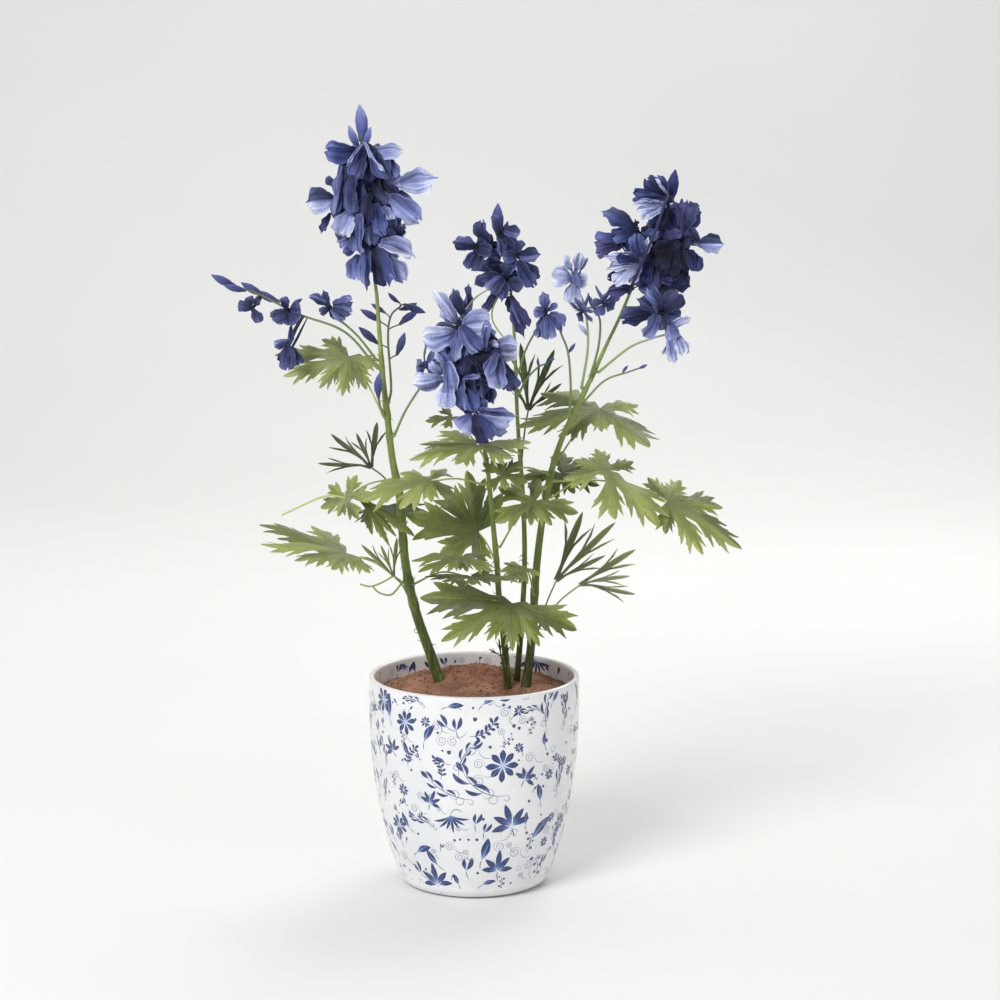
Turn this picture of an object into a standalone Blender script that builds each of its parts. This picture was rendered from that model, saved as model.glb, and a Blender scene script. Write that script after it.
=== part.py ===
"""A potted delphinium: a glazed pot, its soil, four stems, their leaves and their flower sprays.

Metres, +Z up. The origin is the middle of the pot's flat base, and -Y is the front.
Places on the plant are in millimetres, as (right, back, up) from that origin, and angles are in degrees.
"""

import math
import random
from dataclasses import dataclass

import bmesh
import bpy
from mathutils import Matrix, Vector

MM = 0.001
SHARP_ANGLE = 65
UP = Vector((0, 0, 1))

# Pot
RIM_RADIUS = 75.0
POT_HEIGHT = 151.0
FOOT_RADIUS = 43.0
FOOT_ROUND = 9.0
HEEL_INSET = 4.0
WAIST_RADIUS = 51.5
BELLY_POWER = 2.6
WALL = 4.3
FLOOR = 7.0
POT_SIDES = 32
WALL_RINGS = 5
CLEARANCE = 0.3

# Soil
SOIL_LEVEL = 137.5
MOUND_HEIGHT = 10.0
MOUND_BACK = 36.0
MOUND_SPREAD = 24.0
HOLE_DEPTH = 24.0
HOLE_PLAY = 0.45
HOLE_BELOW = 0.8
HOLE_SIDES = 8
RIPPLE_HEIGHT = 0.9
SOIL_EDGE_GAP = 0.4
SOIL_RINGS = (1.0, 0.76, 0.5, 0.25)

# Leaves. A lobe arches up and then falls, and folds along its rib, by these shares of its length. The cuts
# between lobes sink a little at their roots. OPEN_MOUTH and LEAST_EDGE are angles in radians.
LEAF_THICK = 0.9
STALK_RADIUS = 0.95
LEAF_ARCH = 0.10
LEAF_FOLD = 0.28
CUT_SINK = 0.03
RIB_KNEE = 0.48
LOBE_FILL = 0.46
OPEN_MOUTH = 2.1
LEAST_EDGE = 0.6

# Flowers: five petals about a hub, as shares of the flower's reach or of a petal's length
PETAL_THICK = 0.85
PEDICEL_RADIUS = 0.75
SMALL_FLOWER = 39.0
PETAL_COUNT = 5
HUB_RADIUS = 0.18
HUB_HEIGHT = 0.22
PETAL_FOLD = 0.25
NECK_DEPTH = 0.26
NECK_RADIUS = 0.10

# Buds: a ring's place along the bud, and its radius, as shares of the bud's length
BUD_RINGS = ((0.0, 0.09), (0.5, 0.20), (0.8, 0.13))
BUD_SIDES = 4
STEM_SIDES = 6
STALK_SIDES = 3
TWIG_SIDES = 4


@dataclass(frozen=True)
class Stem:
    """A stem's line from the soil up, and its radius at the soil and at its top."""

    line: tuple
    thick: float
    thin: float


@dataclass(frozen=True)
class Leaf:
    """A leaf: its kind of lobe, where its stalk joins a stem, its hub, and how its face lies.

    lean_front and lean_right tilt its face from straight up. Each lobe is (heading, length): 0 heads right
    and 90 heads back or, on a leaf that faces the front, up. droop is a tip's fall as a share of its lobe.
    """

    kind: str
    stem: str
    joins: float
    hub: tuple
    lean_front: float
    lean_right: float
    droop: float
    lobes: tuple


@dataclass(frozen=True)
class Spray:
    """A flower spray: the stem it ends (joins is None) or leaves, its line, its flowers and its buds.

    A flower is (centre, width, turn, nod, roll): the way it faces, 0 being the front and 90 the right, its
    face's rise above level, and its petals' turn about its middle. A bud is (root, tip).
    """

    stem: str
    joins: float
    line: tuple
    thick: float
    thin: float
    flowers: tuple = ()
    buds: tuple = ()


STEMS = {
    "stem_left": Stem(
        ((-25, 18, 141), (-30, 18, 157), (-42, 14, 194), (-49, 8, 232), (-52, 2, 276), (-57, -2, 305),
         (-60, -4, 333), (-63, -6, 362), (-65, -8, 390), (-67, -8, 422)), 4.0, 1.2),
    "stem_middle": Stem(
        ((24, 6, 139), (22, 2, 168), (18, -8, 206), (16, -16, 236), (12, -26, 280), (10, -32, 302),
         (7, -37, 322)), 2.6, 1.2),
    "stem_back": Stem(
        ((30, 19, 137), (33, 21, 171), (36, 26, 221), (35, 34, 271), (31, 43, 327), (29, 50, 382)), 2.4, 1.1),
    "stem_right": Stem(
        ((37, 8, 139), (41, 10, 173), (45, 12, 231), (52, 14, 281), (62, 14, 317), (80, 14, 355),
         (95, 14, 388)), 3.4, 1.2),
}

# Half of a lobe's outline, as (along, across) shares of its length, from its root to just short of its tip.
# Its second point is a tooth, and so is the broad lobe's fourth.
LOBES = {
    "broad": ((0.40, 0.17), (0.67, 0.36), (0.60, 0.20), (0.87, 0.27), (0.76, 0.12)),
    "plain": ((0.42, 0.18), (0.80, 0.32), (0.70, 0.13)),
    "narrow": ((0.28, 0.035), (0.84, 0.19), (0.50, 0.045)),
}
# One petal's outline, as (along, across) shares of its length, in a large flower and in a small one
PETAL = ((0.58, -0.29), (0.93, -0.20), (1.0, 0.12), (0.64, 0.33))
SMALL_PETAL = ((0.66, -0.31), (1.0, 0.04), (0.70, 0.33))
# How far from the hub the cuts between lobes reach, as a share of the lobes' length
CUTS = {"broad": 0.20, "plain": 0.22, "narrow": 0.10}

LEAVES = {
    "leaf_left_top": Leaf("broad", "stem_left", 336, (-88, 14, 376), 50, -6, 0.12,
                          ((-168, 48), (-132, 31), (-98, 31), (-64, 29), (-20, 23), (138, 27), (171, 55))),
    "leaf_left_fine": Leaf("narrow", "stem_left", 282, (-73, 18, 297), 40, 0, 0.0,
                           ((86, 43), (110, 34), (134, 43), (176, 38))),
    "leaf_left_star": Leaf("plain", "stem_left", 292, (-89, -26, 282), 68, -10, 0.05,
                           ((-160, 19), (-112, 14), (-58, 18), (8, 19), (64, 18), (142, 16))),
    "leaf_left_arched": Leaf("plain", "stem_middle", 292, (-31, -40, 296), 30, 0, 0.25,
                             ((-172, 47), (-132, 29), (-82, 18), (-28, 20), (60, 24), (140, 26))),
    "leaf_left_hanging": Leaf("narrow", "stem_left", 262, (-77, -14, 278), 60, 20, 0.1,
                              ((-72, 25), (-56, 36), (-42, 34), (-28, 44))),
    "leaf_left_low": Leaf("broad", "stem_left", 216, (-89, -22, 242), 16, 14, 0.06,
                          ((-172, 60), (-146, 42), (-108, 28), (-46, 26), (128, 44), (160, 67))),
    "leaf_left_slip": Leaf("narrow", "stem_left", 199, (-56, -26, 227), 58, 0, 0.05,
                           ((86, 29), (112, 25), (134, 33))),
    "leaf_centre_big": Leaf("plain", "stem_middle", 236, (3, 2, 253), 64, 0, 0.12,
                            ((-148, 33), (-84, 24), (60, 34), (100, 48), (126, 47), (164, 53))),
    "leaf_centre_flat": Leaf("plain", "stem_middle", 221, (-8, -41, 243), 16, 0, 0.12,
                             ((-152, 34), (-118, 20), (-78, 19), (-38, 27), (24, 20), (176, 35))),
    "leaf_centre_edge": Leaf("plain", "stem_left", 214, (-1, -62, 233), 4, 0, 0.04,
                             ((-158, 22), (-86, 18), (-28, 22), (2, 38), (60, 24), (168, 33))),
    "leaf_front_low": Leaf("broad", "stem_right", 184, (27, -46, 211), 46, 0, 0.12,
                           ((-151, 56), (-122, 33), (-90, 36), (-60, 37), (-22, 48), (172, 65))),
    "leaf_centre_top": Leaf("broad", "stem_middle", 309, (3, -56, 323), 20, 0, 0.08,
                            ((-164, 48), (-122, 28), (-32, 29), (14, 38), (134, 38), (170, 40))),
    "leaf_right_top": Leaf("broad", "stem_right", 303, (90, 44, 335), 26, 0, 0.12,
                           ((-166, 62), (-136, 42), (-89, 25), (-50, 53), (20, 30), (144, 52))),
    "leaf_right_near": Leaf("broad", "stem_right", 276, (94, -12, 299), 38, 4, 0.12,
                            ((-168, 32), (-84, 42), (-52, 56), (34, 22), (110, 24), (154, 26))),
    "leaf_right_far": Leaf("broad", "stem_right", 288, (136, -14, 278), 44, 12, 0.12,
                           ((-94, 27), (-57, 46), (-28, 61), (4, 41), (64, 24), (124, 24))),
    "leaf_centre_front": Leaf("plain", "stem_middle", 246, (41, -44, 282), 46, 0, 0.12,
                              ((-150, 30), (-94, 18), (-54, 22), (-12, 32), (78, 22), (148, 28))),
    "leaf_centre_right": Leaf("plain", "stem_right", 292, (20, -47, 301), 56, 0, 0.12,
                              ((-138, 15), (-78, 11), (-14, 18), (42, 17), (92, 13), (142, 17))),
    "leaf_fine_back": Leaf("narrow", "stem_right", 176, (59, 26, 214), 56, 0, 0.0,
                           ((28, 40), (46, 62), (70, 57))),
    "leaf_fine_right": Leaf("narrow", "stem_right", 182, (75, -6, 217), 40, 0, 0.0,
                            ((-14, 40), (12, 36), (38, 51))),
    "leaf_foot": Leaf("narrow", "stem_middle", 150, (19, -10, 166), 60, 0, 0.0,
                      ((44, 11), (96, 13), (150, 10))),
    "leaf_fine_top": Leaf("narrow", "stem_back", 300, (39, 72, 331), 58, 0, 0.0,
                          ((40, 32), (68, 52), (96, 54), (120, 38))),
    "leaf_small_top": Leaf("plain", "stem_middle", 312, (-15, -8, 336), 30, 0, 0.05,
                           ((-170, 19), (-112, 13), (-20, 12), (120, 14))),
    "leaf_centre_small": Leaf("plain", "stem_right", 206, (37, -27, 232), 24, 0, 0.05,
                              ((-174, 20), (-142, 21), (-108, 17), (-40, 12), (154, 18))),
    "leaf_behind_right": Leaf("plain", "stem_back", 262, (63, 62, 285), 34, 0, 0.1,
                              ((-178, 30), (-119, 28), (-64, 21), (-19, 29), (37, 27), (88, 27))),
    "leaf_behind_left": Leaf("plain", "stem_left", 244, (-62, 48, 264), -24, -8, 0.1,
                             ((0, 26), (46, 34), (88, 38), (130, 34), (176, 26))),
}

# Stalks that end bare, by the leaf they grow with
BARE_STALKS = {
    "leaf_left_star": (((-104, -27, 283), (-133, -34, 271)),),
    "leaf_left_slip": (
        ((-64, -26, 222), (-72, -30, 220), (-79, -32, 222)),
        ((-58, -14, 211), (-66, -18, 213), (-71, -20, 218)),
    ),
}

SPRAYS = {
    "spray_left": Spray(
        "stem_left", None, ((-69, -8, 439), (-73, -8, 487), (-77, -8, 527)), 1.2, 0.8,
        (((-71, -31, 507), 56, -4, 8, 36), ((-52, -20, 493), 52, 44, 0, 8),
         ((-88, -20, 488), 48, -46, -4, -20), ((-69, -33, 457), 54, 2, -14, 0),
         ((-54, 12, 464), 42, 112, 0, 20), ((-86, 14, 474), 44, 216, 6, 0),
         ((-70, 12, 506), 44, 164, 10, 30), ((-66, 12, 448), 38, 172, -8, 10)),
        (((-77, -8, 527), (-78, -8, 552)), ((-78, -10, 522), (-85, -14, 538)),
         ((-75, -10, 522), (-70, -12, 537))),
    ),
    "spray_middle": Spray(
        "stem_middle", None, ((5, -41, 345), (-2, -45, 387), (-6, -44, 408)), 1.2, 0.8,
        (((-8, -63, 406), 50, -12, 10, 16), ((-14, -62, 373), 48, -22, 0, -4),
         ((17, -56, 382), 44, 42, 0, 10), ((4, -66, 347), 46, 2, -12, 18),
         ((8, -62, 395), 36, 24, 10, 36), ((-4, -22, 392), 42, 172, 6, 0),
         ((12, -24, 364), 36, 126, 0, 20), ((-17, -27, 384), 38, 236, 4, 30)),
        (((-6, -42, 408), (-13, -40, 425)), ((-4, -40, 406), (-2, -38, 427))),
    ),
    "spray_back": Spray(
        "stem_back", None, ((26, 52, 420), (21, 54, 445), (18, 54, 456)), 1.1, 0.7,
        (((9, 42, 458), 30, -36, 6, 20), ((28, 44, 458), 30, 40, 4, -6), ((2, 38, 447), 36, -22, -6, 10),
         ((34, 38, 443), 35, 30, -8, -10), ((19, 34, 427), 38, 0, -18, 0), ((20, 74, 446), 32, 176, 6, 0),
         ((12, 72, 430), 30, 206, 0, 20), ((29, 42, 408), 26, 30, -46, 0), ((12, 44, 410), 24, -56, -40, 0)),
        (((18, 54, 456), (17, 53, 481)), ((19, 56, 454), (24, 58, 468))),
    ),
    "spray_right": Spray(
        "stem_right", None, ((103, 14, 405), (116, 12, 437), (130, 10, 465), (136, 8, 484)), 1.2, 0.8,
        (((125, -10, 490), 44, -30, 6, 20), ((150, -2, 477), 42, 62, -8, 0), ((108, -9, 468), 48, -28, 0, 0),
         ((112, -19, 443), 44, -18, -10, 30), ((152, -5, 454), 46, 52, 2, 10),
         ((131, -21, 451), 46, 12, 0, 36), ((130, -10, 422), 38, 14, 4, 0),
         ((113, -6, 411), 32, -34, -30, 20), ((104, 2, 430), 32, -60, -10, 0),
         ((141, 34, 466), 42, 166, 6, 0), ((121, 36, 450), 40, 206, 6, 20), ((137, 34, 430), 38, 152, 0, 40)),
        (((137, 8, 484), (140, 7, 507)), ((135, 9, 482), (129, 14, 496))),
    ),
    "spray_left_side": Spray(
        "stem_left", 370, ((-90, 0, 395), (-123, 6, 407), (-149, 8, 420), (-166, 9, 426)), 0.9, 0.6,
        (((-156, 2, 411), 27, -10, -30, 0), ((-130, 1, 406), 28, 4, -26, 20),
         ((-129, -6, 384), 30, 12, -50, 0)),
        (((-166, 9, 426), (-183, 8, 434)), ((-159, 7, 423), (-174, 4, 427)),
         ((-147, 11, 420), (-163, 15, 428)), ((-136, 11, 415), (-152, 17, 422)),
         ((-128, 9, 411), (-120, 12, 417))),
    ),
    "spray_left_single": Spray(
        "stem_left", 376, ((-79, -13, 392), (-89, -16, 402), (-96, -15, 406)), 0.85, 0.7,
        (((-99, -20, 414), 34, -14, 36, 20),), (),
    ),
    "spray_left_buds": Spray(
        "stem_left", 344, ((-58, 6, 356), (-60, 7, 389), (-58, 9, 405), (-51, 12, 412)), 0.95, 0.6,
        (),
        (((-65, 7, 401), (-79, 5, 410)), ((-67, 6, 386), (-80, 2, 398)), ((-52, 10, 399), (-39, 12, 408)),
         ((-54, 6, 378), (-48, 2, 394)), ((-62, 12, 407), (-72, 16, 413)), ((-49, 13, 413), (-34, 14, 407)),
         ((-52, 15, 409), (-40, 20, 413)), ((-52, 13, 414), (-60, 14, 421))),
    ),
    "bud_left_low": Spray(
        "stem_left", 338, ((-65, -12, 344), (-66, -14, 350)), 0.9, 0.8, (),
        (((-66, -14, 350), (-65, -17, 368)),),
    ),
    "flower_long_stalk": Spray(
        "stem_left", 322, ((-47, -15, 342), (-36, -24, 360), (-31, -27, 369)), 0.9, 0.75,
        (((-33, -32, 375), 34, -58, 4, 30),), (),
    ),
    "flower_back": Spray(
        "stem_back", 362, ((37, 44, 378), (45, 36, 394)), 0.85, 0.7, (((51, 30, 402), 32, 0, 6, 0),), (),
    ),
    "flower_right_light": Spray(
        "stem_right", 352, ((80, 7, 384), (78, 6, 410), (73, 2, 424)), 0.9, 0.7,
        (((69, -6, 432), 38, -10, 6, 10),), (((79, 6, 392), (73, 5, 400)),),
    ),
    "flower_right_hanging": Spray(
        "stem_right", 366, ((108, 3, 383), (122, -4, 390), (134, -8, 394)), 0.9, 0.7,
        (((142, -15, 392), 36, 8, -8, -20),), (),
    ),
    "spray_right_side": Spray(
        "stem_right", 362, ((87, 0, 384), (88, -6, 402), (85, -10, 411)), 0.9, 0.65,
        (((75, -15, 411), 26, -40, -30, 0), ((91, -13, 417), 26, 30, -24, 20)),
        (((85, -10, 411), (80, -8, 421)),),
    ),
    "twig_right": Spray(
        "stem_right", 346, ((92, 7, 360), (108, -2, 367), (115, -6, 370)), 0.8, 0.55, (),
        (((115, -6, 370), (121, -8, 373)), ((104, 0, 366), (108, 3, 371))),
    ),
    "twig_middle": Spray(
        "stem_back", 346, ((38, 38, 358), (46, 30, 367), (52, 25, 370)), 0.8, 0.55, (),
        (((52, 25, 370), (57, 22, 374)), ((46, 31, 367), (45, 29, 373))),
    ),
    "twig_bud": Spray(
        "stem_right", 334, ((68, 4, 356), (66, 0, 380), (61, -4, 394)), 0.9, 0.7, (),
        (((61, -4, 394), (58, -5, 405)), ((66, 0, 380), (71, 0, 387))),
    ),
}

# Colours read by eye from the photo, each with its roughness
FINISHES = {
    "white glaze": ((0.86, 0.87, 0.88), 0.25),
    "brown soil": ((0.22, 0.12, 0.07), 0.95),
    "stem green": ((0.20, 0.30, 0.05), 0.5),
    "stem shade": ((0.09, 0.15, 0.04), 0.55),
    "pale leaf": ((0.40, 0.48, 0.18), 0.5),
    "leaf": ((0.27, 0.35, 0.11), 0.55),
    "dark leaf": ((0.07, 0.11, 0.04), 0.6),
    "pale petal": ((0.40, 0.46, 0.82), 0.6),
    "blue petal": ((0.14, 0.17, 0.50), 0.6),
    "dark petal": ((0.04, 0.04, 0.20), 0.6),
}
DARK_LEAVES = ("leaf_left_fine", "leaf_left_hanging", "leaf_fine_back", "leaf_fine_top", "leaf_foot",
               "leaf_behind_right", "leaf_behind_left", "leaf_centre_edge")
PALE_LEAVES = ("leaf_left_top", "leaf_left_low", "leaf_left_star", "leaf_left_arched", "leaf_right_near",
               "leaf_right_far", "leaf_centre_top", "leaf_right_top")
DARK_FLOWERS = ("spray_right",)
PALE_FLOWERS = ("spray_left", "spray_middle", "flower_right_light", "flower_right_hanging")


def clear_scene():
    """Removes whatever the startup file holds."""
    for thing in list(bpy.data.objects):
        bpy.data.objects.remove(thing)


def finish_of(name, finish):
    """The Principled material of one node, in one of the finishes."""
    colour, roughness = FINISHES[finish]
    material = bpy.data.materials.new(name)
    material.use_nodes = True
    shader = material.node_tree.nodes["Principled BSDF"]
    shader.inputs["Base Color"].default_value = (*colour, 1)
    shader.inputs["Roughness"].default_value = roughness
    shader.inputs["Metallic"].default_value = 0
    return material


def tone(name, dark, pale, kind):
    """The finish of a leaf or of a flower, by its name."""
    if name in dark:
        return "dark " + kind
    return "pale " + kind if name in pale else {"leaf": "leaf", "petal": "blue petal"}[kind]


def add_object(name, mesh, material=None, collection=None):
    """Links a mesh to the scene as an object."""
    thing = bpy.data.objects.new(name, mesh)
    (collection or bpy.context.scene.collection).objects.link(thing)
    if material:
        mesh.materials.clear()
        mesh.materials.append(material)
    return thing


def mesh_of(name, points, faces):
    """A mesh with its faces turned outwards."""
    mesh = bpy.data.meshes.new(name)
    mesh.from_pydata([tuple(p) for p in points], [], faces)
    work = bmesh.new()
    work.from_mesh(mesh)
    bmesh.ops.recalc_face_normals(work, faces=work.faces)
    work.to_mesh(mesh)
    work.free()
    return mesh


def curve_point(points, share):
    """A point on the smooth curve through points, at a share of its spans from 0 to 1."""
    spans = len(points) - 1
    place = min(max(share, 0.0), 1.0) * spans
    k = min(int(place), spans - 1)
    t = place - k
    before = points[k - 1] if k else points[0] * 2 - points[1]
    after = points[k + 2] if k + 2 <= spans else points[spans] * 2 - points[spans - 1]
    start, end = points[k], points[k + 1]
    return 0.5 * (
        2 * start
        + (end - before) * t
        + (2 * before - 5 * start + 4 * end - after) * t * t
        + (3 * start - before - 3 * end + after) * t ** 3
    )


def smooth_line(points, steps):
    """Points along the smooth curve through points, steps to each span."""
    count = (len(points) - 1) * steps
    return [curve_point(points, k / count) for k in range(count + 1)]


def in_metres(points):
    """Millimetre triples as vectors in metres."""
    return [Vector(p) * MM for p in points]


def tube(name, line, radii, sides):
    """A closed tube along a line, whose radius runs evenly from the first of radii to the second."""
    points, rings = [], len(line)
    side = None
    for k, centre in enumerate(line):
        ahead = (line[min(k + 1, rings - 1)] - line[max(k - 1, 0)]).normalized()
        if side is None:
            side = ahead.orthogonal().normalized()
        side = (side - ahead * side.dot(ahead)).normalized()
        across = ahead.cross(side)
        radius = radii[0] + (radii[1] - radii[0]) * k / (rings - 1)
        for n in range(sides):
            angle = 2 * math.pi * n / sides
            points.append(centre + (side * math.cos(angle) + across * math.sin(angle)) * radius)
    last = tuple(range((rings - 1) * sides, rings * sides))
    mesh = mesh_of(name, points, tube_faces(sides, rings) + [last])
    mesh.shade_smooth()
    mesh.set_sharp_from_angle(angle=math.radians(SHARP_ANGLE))
    return mesh


def tube_faces(sides, rings):
    """The first end and the walls of a tube of rings of corners."""
    faces = [tuple(range(sides))]
    for k in range(rings - 1):
        for n in range(sides):
            a, b = k * sides + n, k * sides + (n + 1) % sides
            faces.append((a, b, b + sides, a + sides))
    return faces


def thicken(points, triangles, thickness):
    """Closes a thin sheet of triangles, split alike on both faces. The underside repeats its corners."""
    work = bmesh.new()
    corners = [work.verts.new(p) for p in points]
    work.verts.index_update()
    for triangle in triangles:
        work.faces.new([corners[i] for i in triangle])
    work.normal_update()
    normals = [corner.normal.copy() for corner in corners]
    rims = []
    for edge in work.edges:
        if len(edge.link_faces) == 1:
            loop = edge.link_loops[0]
            rims.append((loop.vert.index, loop.link_loop_next.vert.index))
    work.free()
    count = len(points)
    solid = list(points) + [p - n * thickness for p, n in zip(points, normals)]
    faces = list(triangles) + [(b, a, a + count, b + count) for a, b in rims]
    faces += [(c + count, b + count, a + count) for a, b, c in triangles]
    return solid, faces


def sleeve(solid, faces, ring, ahead, path):
    """Carries a ring of corners along a path of (centre, radius) and closes its end."""
    centre = sum((solid[i] for i in ring), Vector()) / len(ring)
    for target, radius in path:
        toward = (target - centre).normalized()
        swing = ahead.rotation_difference(toward)
        fresh = []
        for i in ring:
            offset = swing @ (solid[i] - centre)
            fresh.append(len(solid))
            solid.append(target + offset.normalized() * radius)
        for k, i in enumerate(ring):
            n = (k + 1) % len(ring)
            faces.append((ring[n], i, fresh[k], fresh[n]))
        ring, centre, ahead = fresh, target, toward
    faces.append(tuple(ring))


def facing(turn, nod):
    """The direction at a turn from the front, 90 being the right, and a rise above level, in degrees."""
    turn, nod = math.radians(turn), math.radians(nod)
    return Vector((math.sin(turn) * math.cos(nod), -math.cos(turn) * math.cos(nod), math.sin(nod)))


def flower_frame(centre, turn, nod, roll):
    """The place of a flower whose local +Z looks out of its face and +Y is its top."""
    out = facing(turn, nod)
    right = UP.cross(out).normalized()
    top = out.cross(right)
    frame = Matrix((right, top, out)).transposed().to_4x4()
    return Matrix.Translation(centre) @ frame @ Matrix.Rotation(roll, 4, "Z")


def floret(width, draw, stalk):
    """A five-petalled flower about its own centre, as closed points and faces, with the stalk that holds it.

    Its face looks along +Z, and the stalk is a path of points from behind its face.
    """
    reach = width / 2
    petal = SMALL_PETAL if width < SMALL_FLOWER * MM else PETAL
    points = [Vector((0, 0, HUB_HEIGHT * reach))]
    step = 2 * math.pi / PETAL_COUNT
    for k in range(PETAL_COUNT):
        angle = math.pi / 2 + step * (k - 0.5)
        points.append(Vector((math.cos(angle), math.sin(angle), 0)) * HUB_RADIUS * reach)
    triangles = []
    for k in range(PETAL_COUNT):
        angle = math.pi / 2 + step * k + math.radians(draw.uniform(-9, 9))
        length = reach * draw.uniform(0.84, 1.08)
        cup = math.radians(draw.uniform(4, 40))
        curl = draw.uniform(0.10, 0.45)
        twist = draw.uniform(-0.45, 0.45)
        radial = Vector((math.cos(angle), math.sin(angle), 0))
        across = Vector((-math.sin(angle), math.cos(angle), 0))
        first, last, p = 1 + k, 1 + (k + 1) % PETAL_COUNT, len(points)
        for along, aside in petal:
            rise = along * math.sin(cup) - curl * along * along
            rise += twist * aside - PETAL_FOLD * abs(aside)
            points.append((radial * (along * math.cos(cup)) + across * aside + UP * rise) * length)
        end = p + len(petal) - 1
        triangles += [(0, first, last), (first, p, end), (first, end, last), (p, p + 1, end)]
        if len(petal) > 3:
            triangles.append((p + 1, p + 2, end))
    solid, faces = thicken(points, triangles, PETAL_THICK * MM)
    under = len(points)
    faces = [face for face in faces if under not in face]
    ring = [under + k for k in range(1, PETAL_COUNT + 1)]
    path = [(Vector((0, 0, -NECK_DEPTH * reach)), NECK_RADIUS * reach)]
    path += [(point, PEDICEL_RADIUS * MM) for point in stalk]
    sleeve(solid, faces, ring, Vector((0, 0, -1)), path)
    return solid, faces


def bud(start, root, tip):
    """A closed bud on its stalk, as points and faces."""
    length = (tip - root).length
    ahead = (tip - root).normalized()
    stalk = [(start, PEDICEL_RADIUS * MM)] if (start - root).length > 2 * PEDICEL_RADIUS * MM else []
    rings = stalk + [(root.lerp(tip, share), radius * length) for share, radius in BUD_RINGS]
    points, sides = [], BUD_SIDES
    for k, (centre, radius) in enumerate(rings):
        axis = (rings[1][0] - centre).normalized() if k == 0 else ahead
        level = abs(axis.z) < 0.9
        side = (UP - axis * UP.dot(axis)).normalized() if level else axis.orthogonal().normalized()
        across = axis.cross(side)
        for n in range(sides):
            angle = 2 * math.pi * n / sides
            points.append(centre + (side * math.cos(angle) + across * math.sin(angle)) * radius)
    points.append(tip)
    faces = tube_faces(sides, len(rings))
    top = (len(rings) - 1) * sides
    faces += [(top + n, top + (n + 1) % sides, len(points) - 1) for n in range(sides)]
    return points, faces


def placed(name, shape, frame):
    """A mesh of points and faces set in a frame."""
    points, faces = shape
    return mesh_of(name, [frame @ Vector(p) for p in points], faces)


def from_open_side(lobes):
    """The lobes in order from the leaf's open side, which is the widest gap between two of them."""
    ordered = sorted(lobes)
    gaps = [(after[0] - lobe[0]) % 360 for lobe, after in zip(ordered, ordered[1:] + ordered[:1])]
    first = gaps.index(max(gaps)) + 1
    turned_back = [(heading - 360, length) for heading, length in ordered[first:]]
    return turned_back + ordered[:first]


def leaf_blade(leaf):
    """A palmate leaf as closed points and faces: hub at the origin, heading 0 along +X, face up +Z."""
    outline, cut = LOBES[leaf.kind], CUTS[leaf.kind]
    lobes = from_open_side(leaf.lobes)
    angles = [math.radians(heading) for heading, _ in lobes]
    lengths = [length * MM for _, length in lobes]
    mean = sum(lengths) / len(lengths)
    widest = max(math.atan2(across, along) for along, across in outline)
    open_side = angles[0] + 2 * math.pi - angles[-1]
    edge = min(max(LEAST_EDGE, (open_side - OPEN_MOUTH) / 2), 0.45 * open_side)
    gaps = [2 * edge] + [b - a for a, b in zip(angles, angles[1:])] + [2 * edge]
    bounds = [angles[0] - edge] + [(a + b) / 2 for a, b in zip(angles, angles[1:])] + [angles[-1] + edge]

    def at(angle, length, along, aside):
        x = (along * math.cos(angle) - aside * math.sin(angle)) * length
        y = (along * math.sin(angle) + aside * math.cos(angle)) * length
        out = math.hypot(along, aside)
        height = LEAF_ARCH * out - (LEAF_ARCH + leaf.droop) * out * out - LEAF_FOLD * abs(aside)
        return Vector((x, y, height * length))

    points = [Vector((0, 0, 0))]
    cuts = []
    for bound, gap in zip(bounds, gaps):
        cuts.append(len(points))
        points.append(at(bound, mean, cut * min(1.0, 0.5 + gap / 3), 0) - UP * CUT_SINK * mean)
    triangles = [(0, cuts[-1], cuts[0])]
    for k, (angle, length) in enumerate(zip(angles, lengths)):
        base, tip = len(points), len(points) + 1
        points += [at(angle, length, RIB_KNEE, 0), at(angle, length, 1.0, 0)]
        triangles += [(0, cuts[k], base), (0, base, cuts[k + 1])]
        for side, gap, root in ((-1, gaps[k], cuts[k]), (1, gaps[k + 1], cuts[k + 1])):
            squeeze = min(1.0, LOBE_FILL * gap / widest)
            half = [root]
            for along, across in outline:
                half.append(len(points))
                points.append(at(angle, length, along, side * across * squeeze))
            ring = [(base, root, half[1])]
            for shoulder, tooth, notch in zip(half[1::2], half[2::2], half[3::2]):
                ring += [(shoulder, tooth, notch), (base, shoulder, notch)]
            ring.append((base, half[-1], tip))
            triangles += ring if side < 0 else [t[::-1] for t in ring]
    return thicken(points, triangles, LEAF_THICK * MM)


def leaf_frame(leaf):
    """The place of a leaf, whose own +X heads right and +Z is its face."""
    front, right = math.radians(leaf.lean_front), math.radians(leaf.lean_right)
    face = Vector((math.sin(right), -math.sin(front) * math.cos(right), math.cos(front) * math.cos(right)))
    level = Vector((1, 0, 0))
    level = (level - face * level.dot(face)).normalized()
    frame = Matrix((level, face.cross(level), face)).transposed().to_4x4()
    return Matrix.Translation(Vector(leaf.hub) * MM) @ frame


def fuse(name, meshes, material):
    """One node from several closed meshes, by one Boolean union that is applied."""
    base = add_object(name, meshes[0], material)
    if len(meshes) > 1:
        extras = bpy.data.collections.new(name + "_extras")
        bpy.context.scene.collection.children.link(extras)
        for k, mesh in enumerate(meshes[1:]):
            add_object(f"{name}_extra_{k}", mesh, None, extras)
        union = base.modifiers.new("union", "BOOLEAN")
        union.operation = "UNION"
        union.operand_type = "COLLECTION"
        union.solver = "MANIFOLD"
        union.collection = extras
        apply_modifiers(base)
        for extra in list(extras.objects):
            bpy.data.objects.remove(extra)
        bpy.data.collections.remove(extras)
        base.data.materials.clear()
        base.data.materials.append(material)
    keep_one_body(base)
    return base


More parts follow.
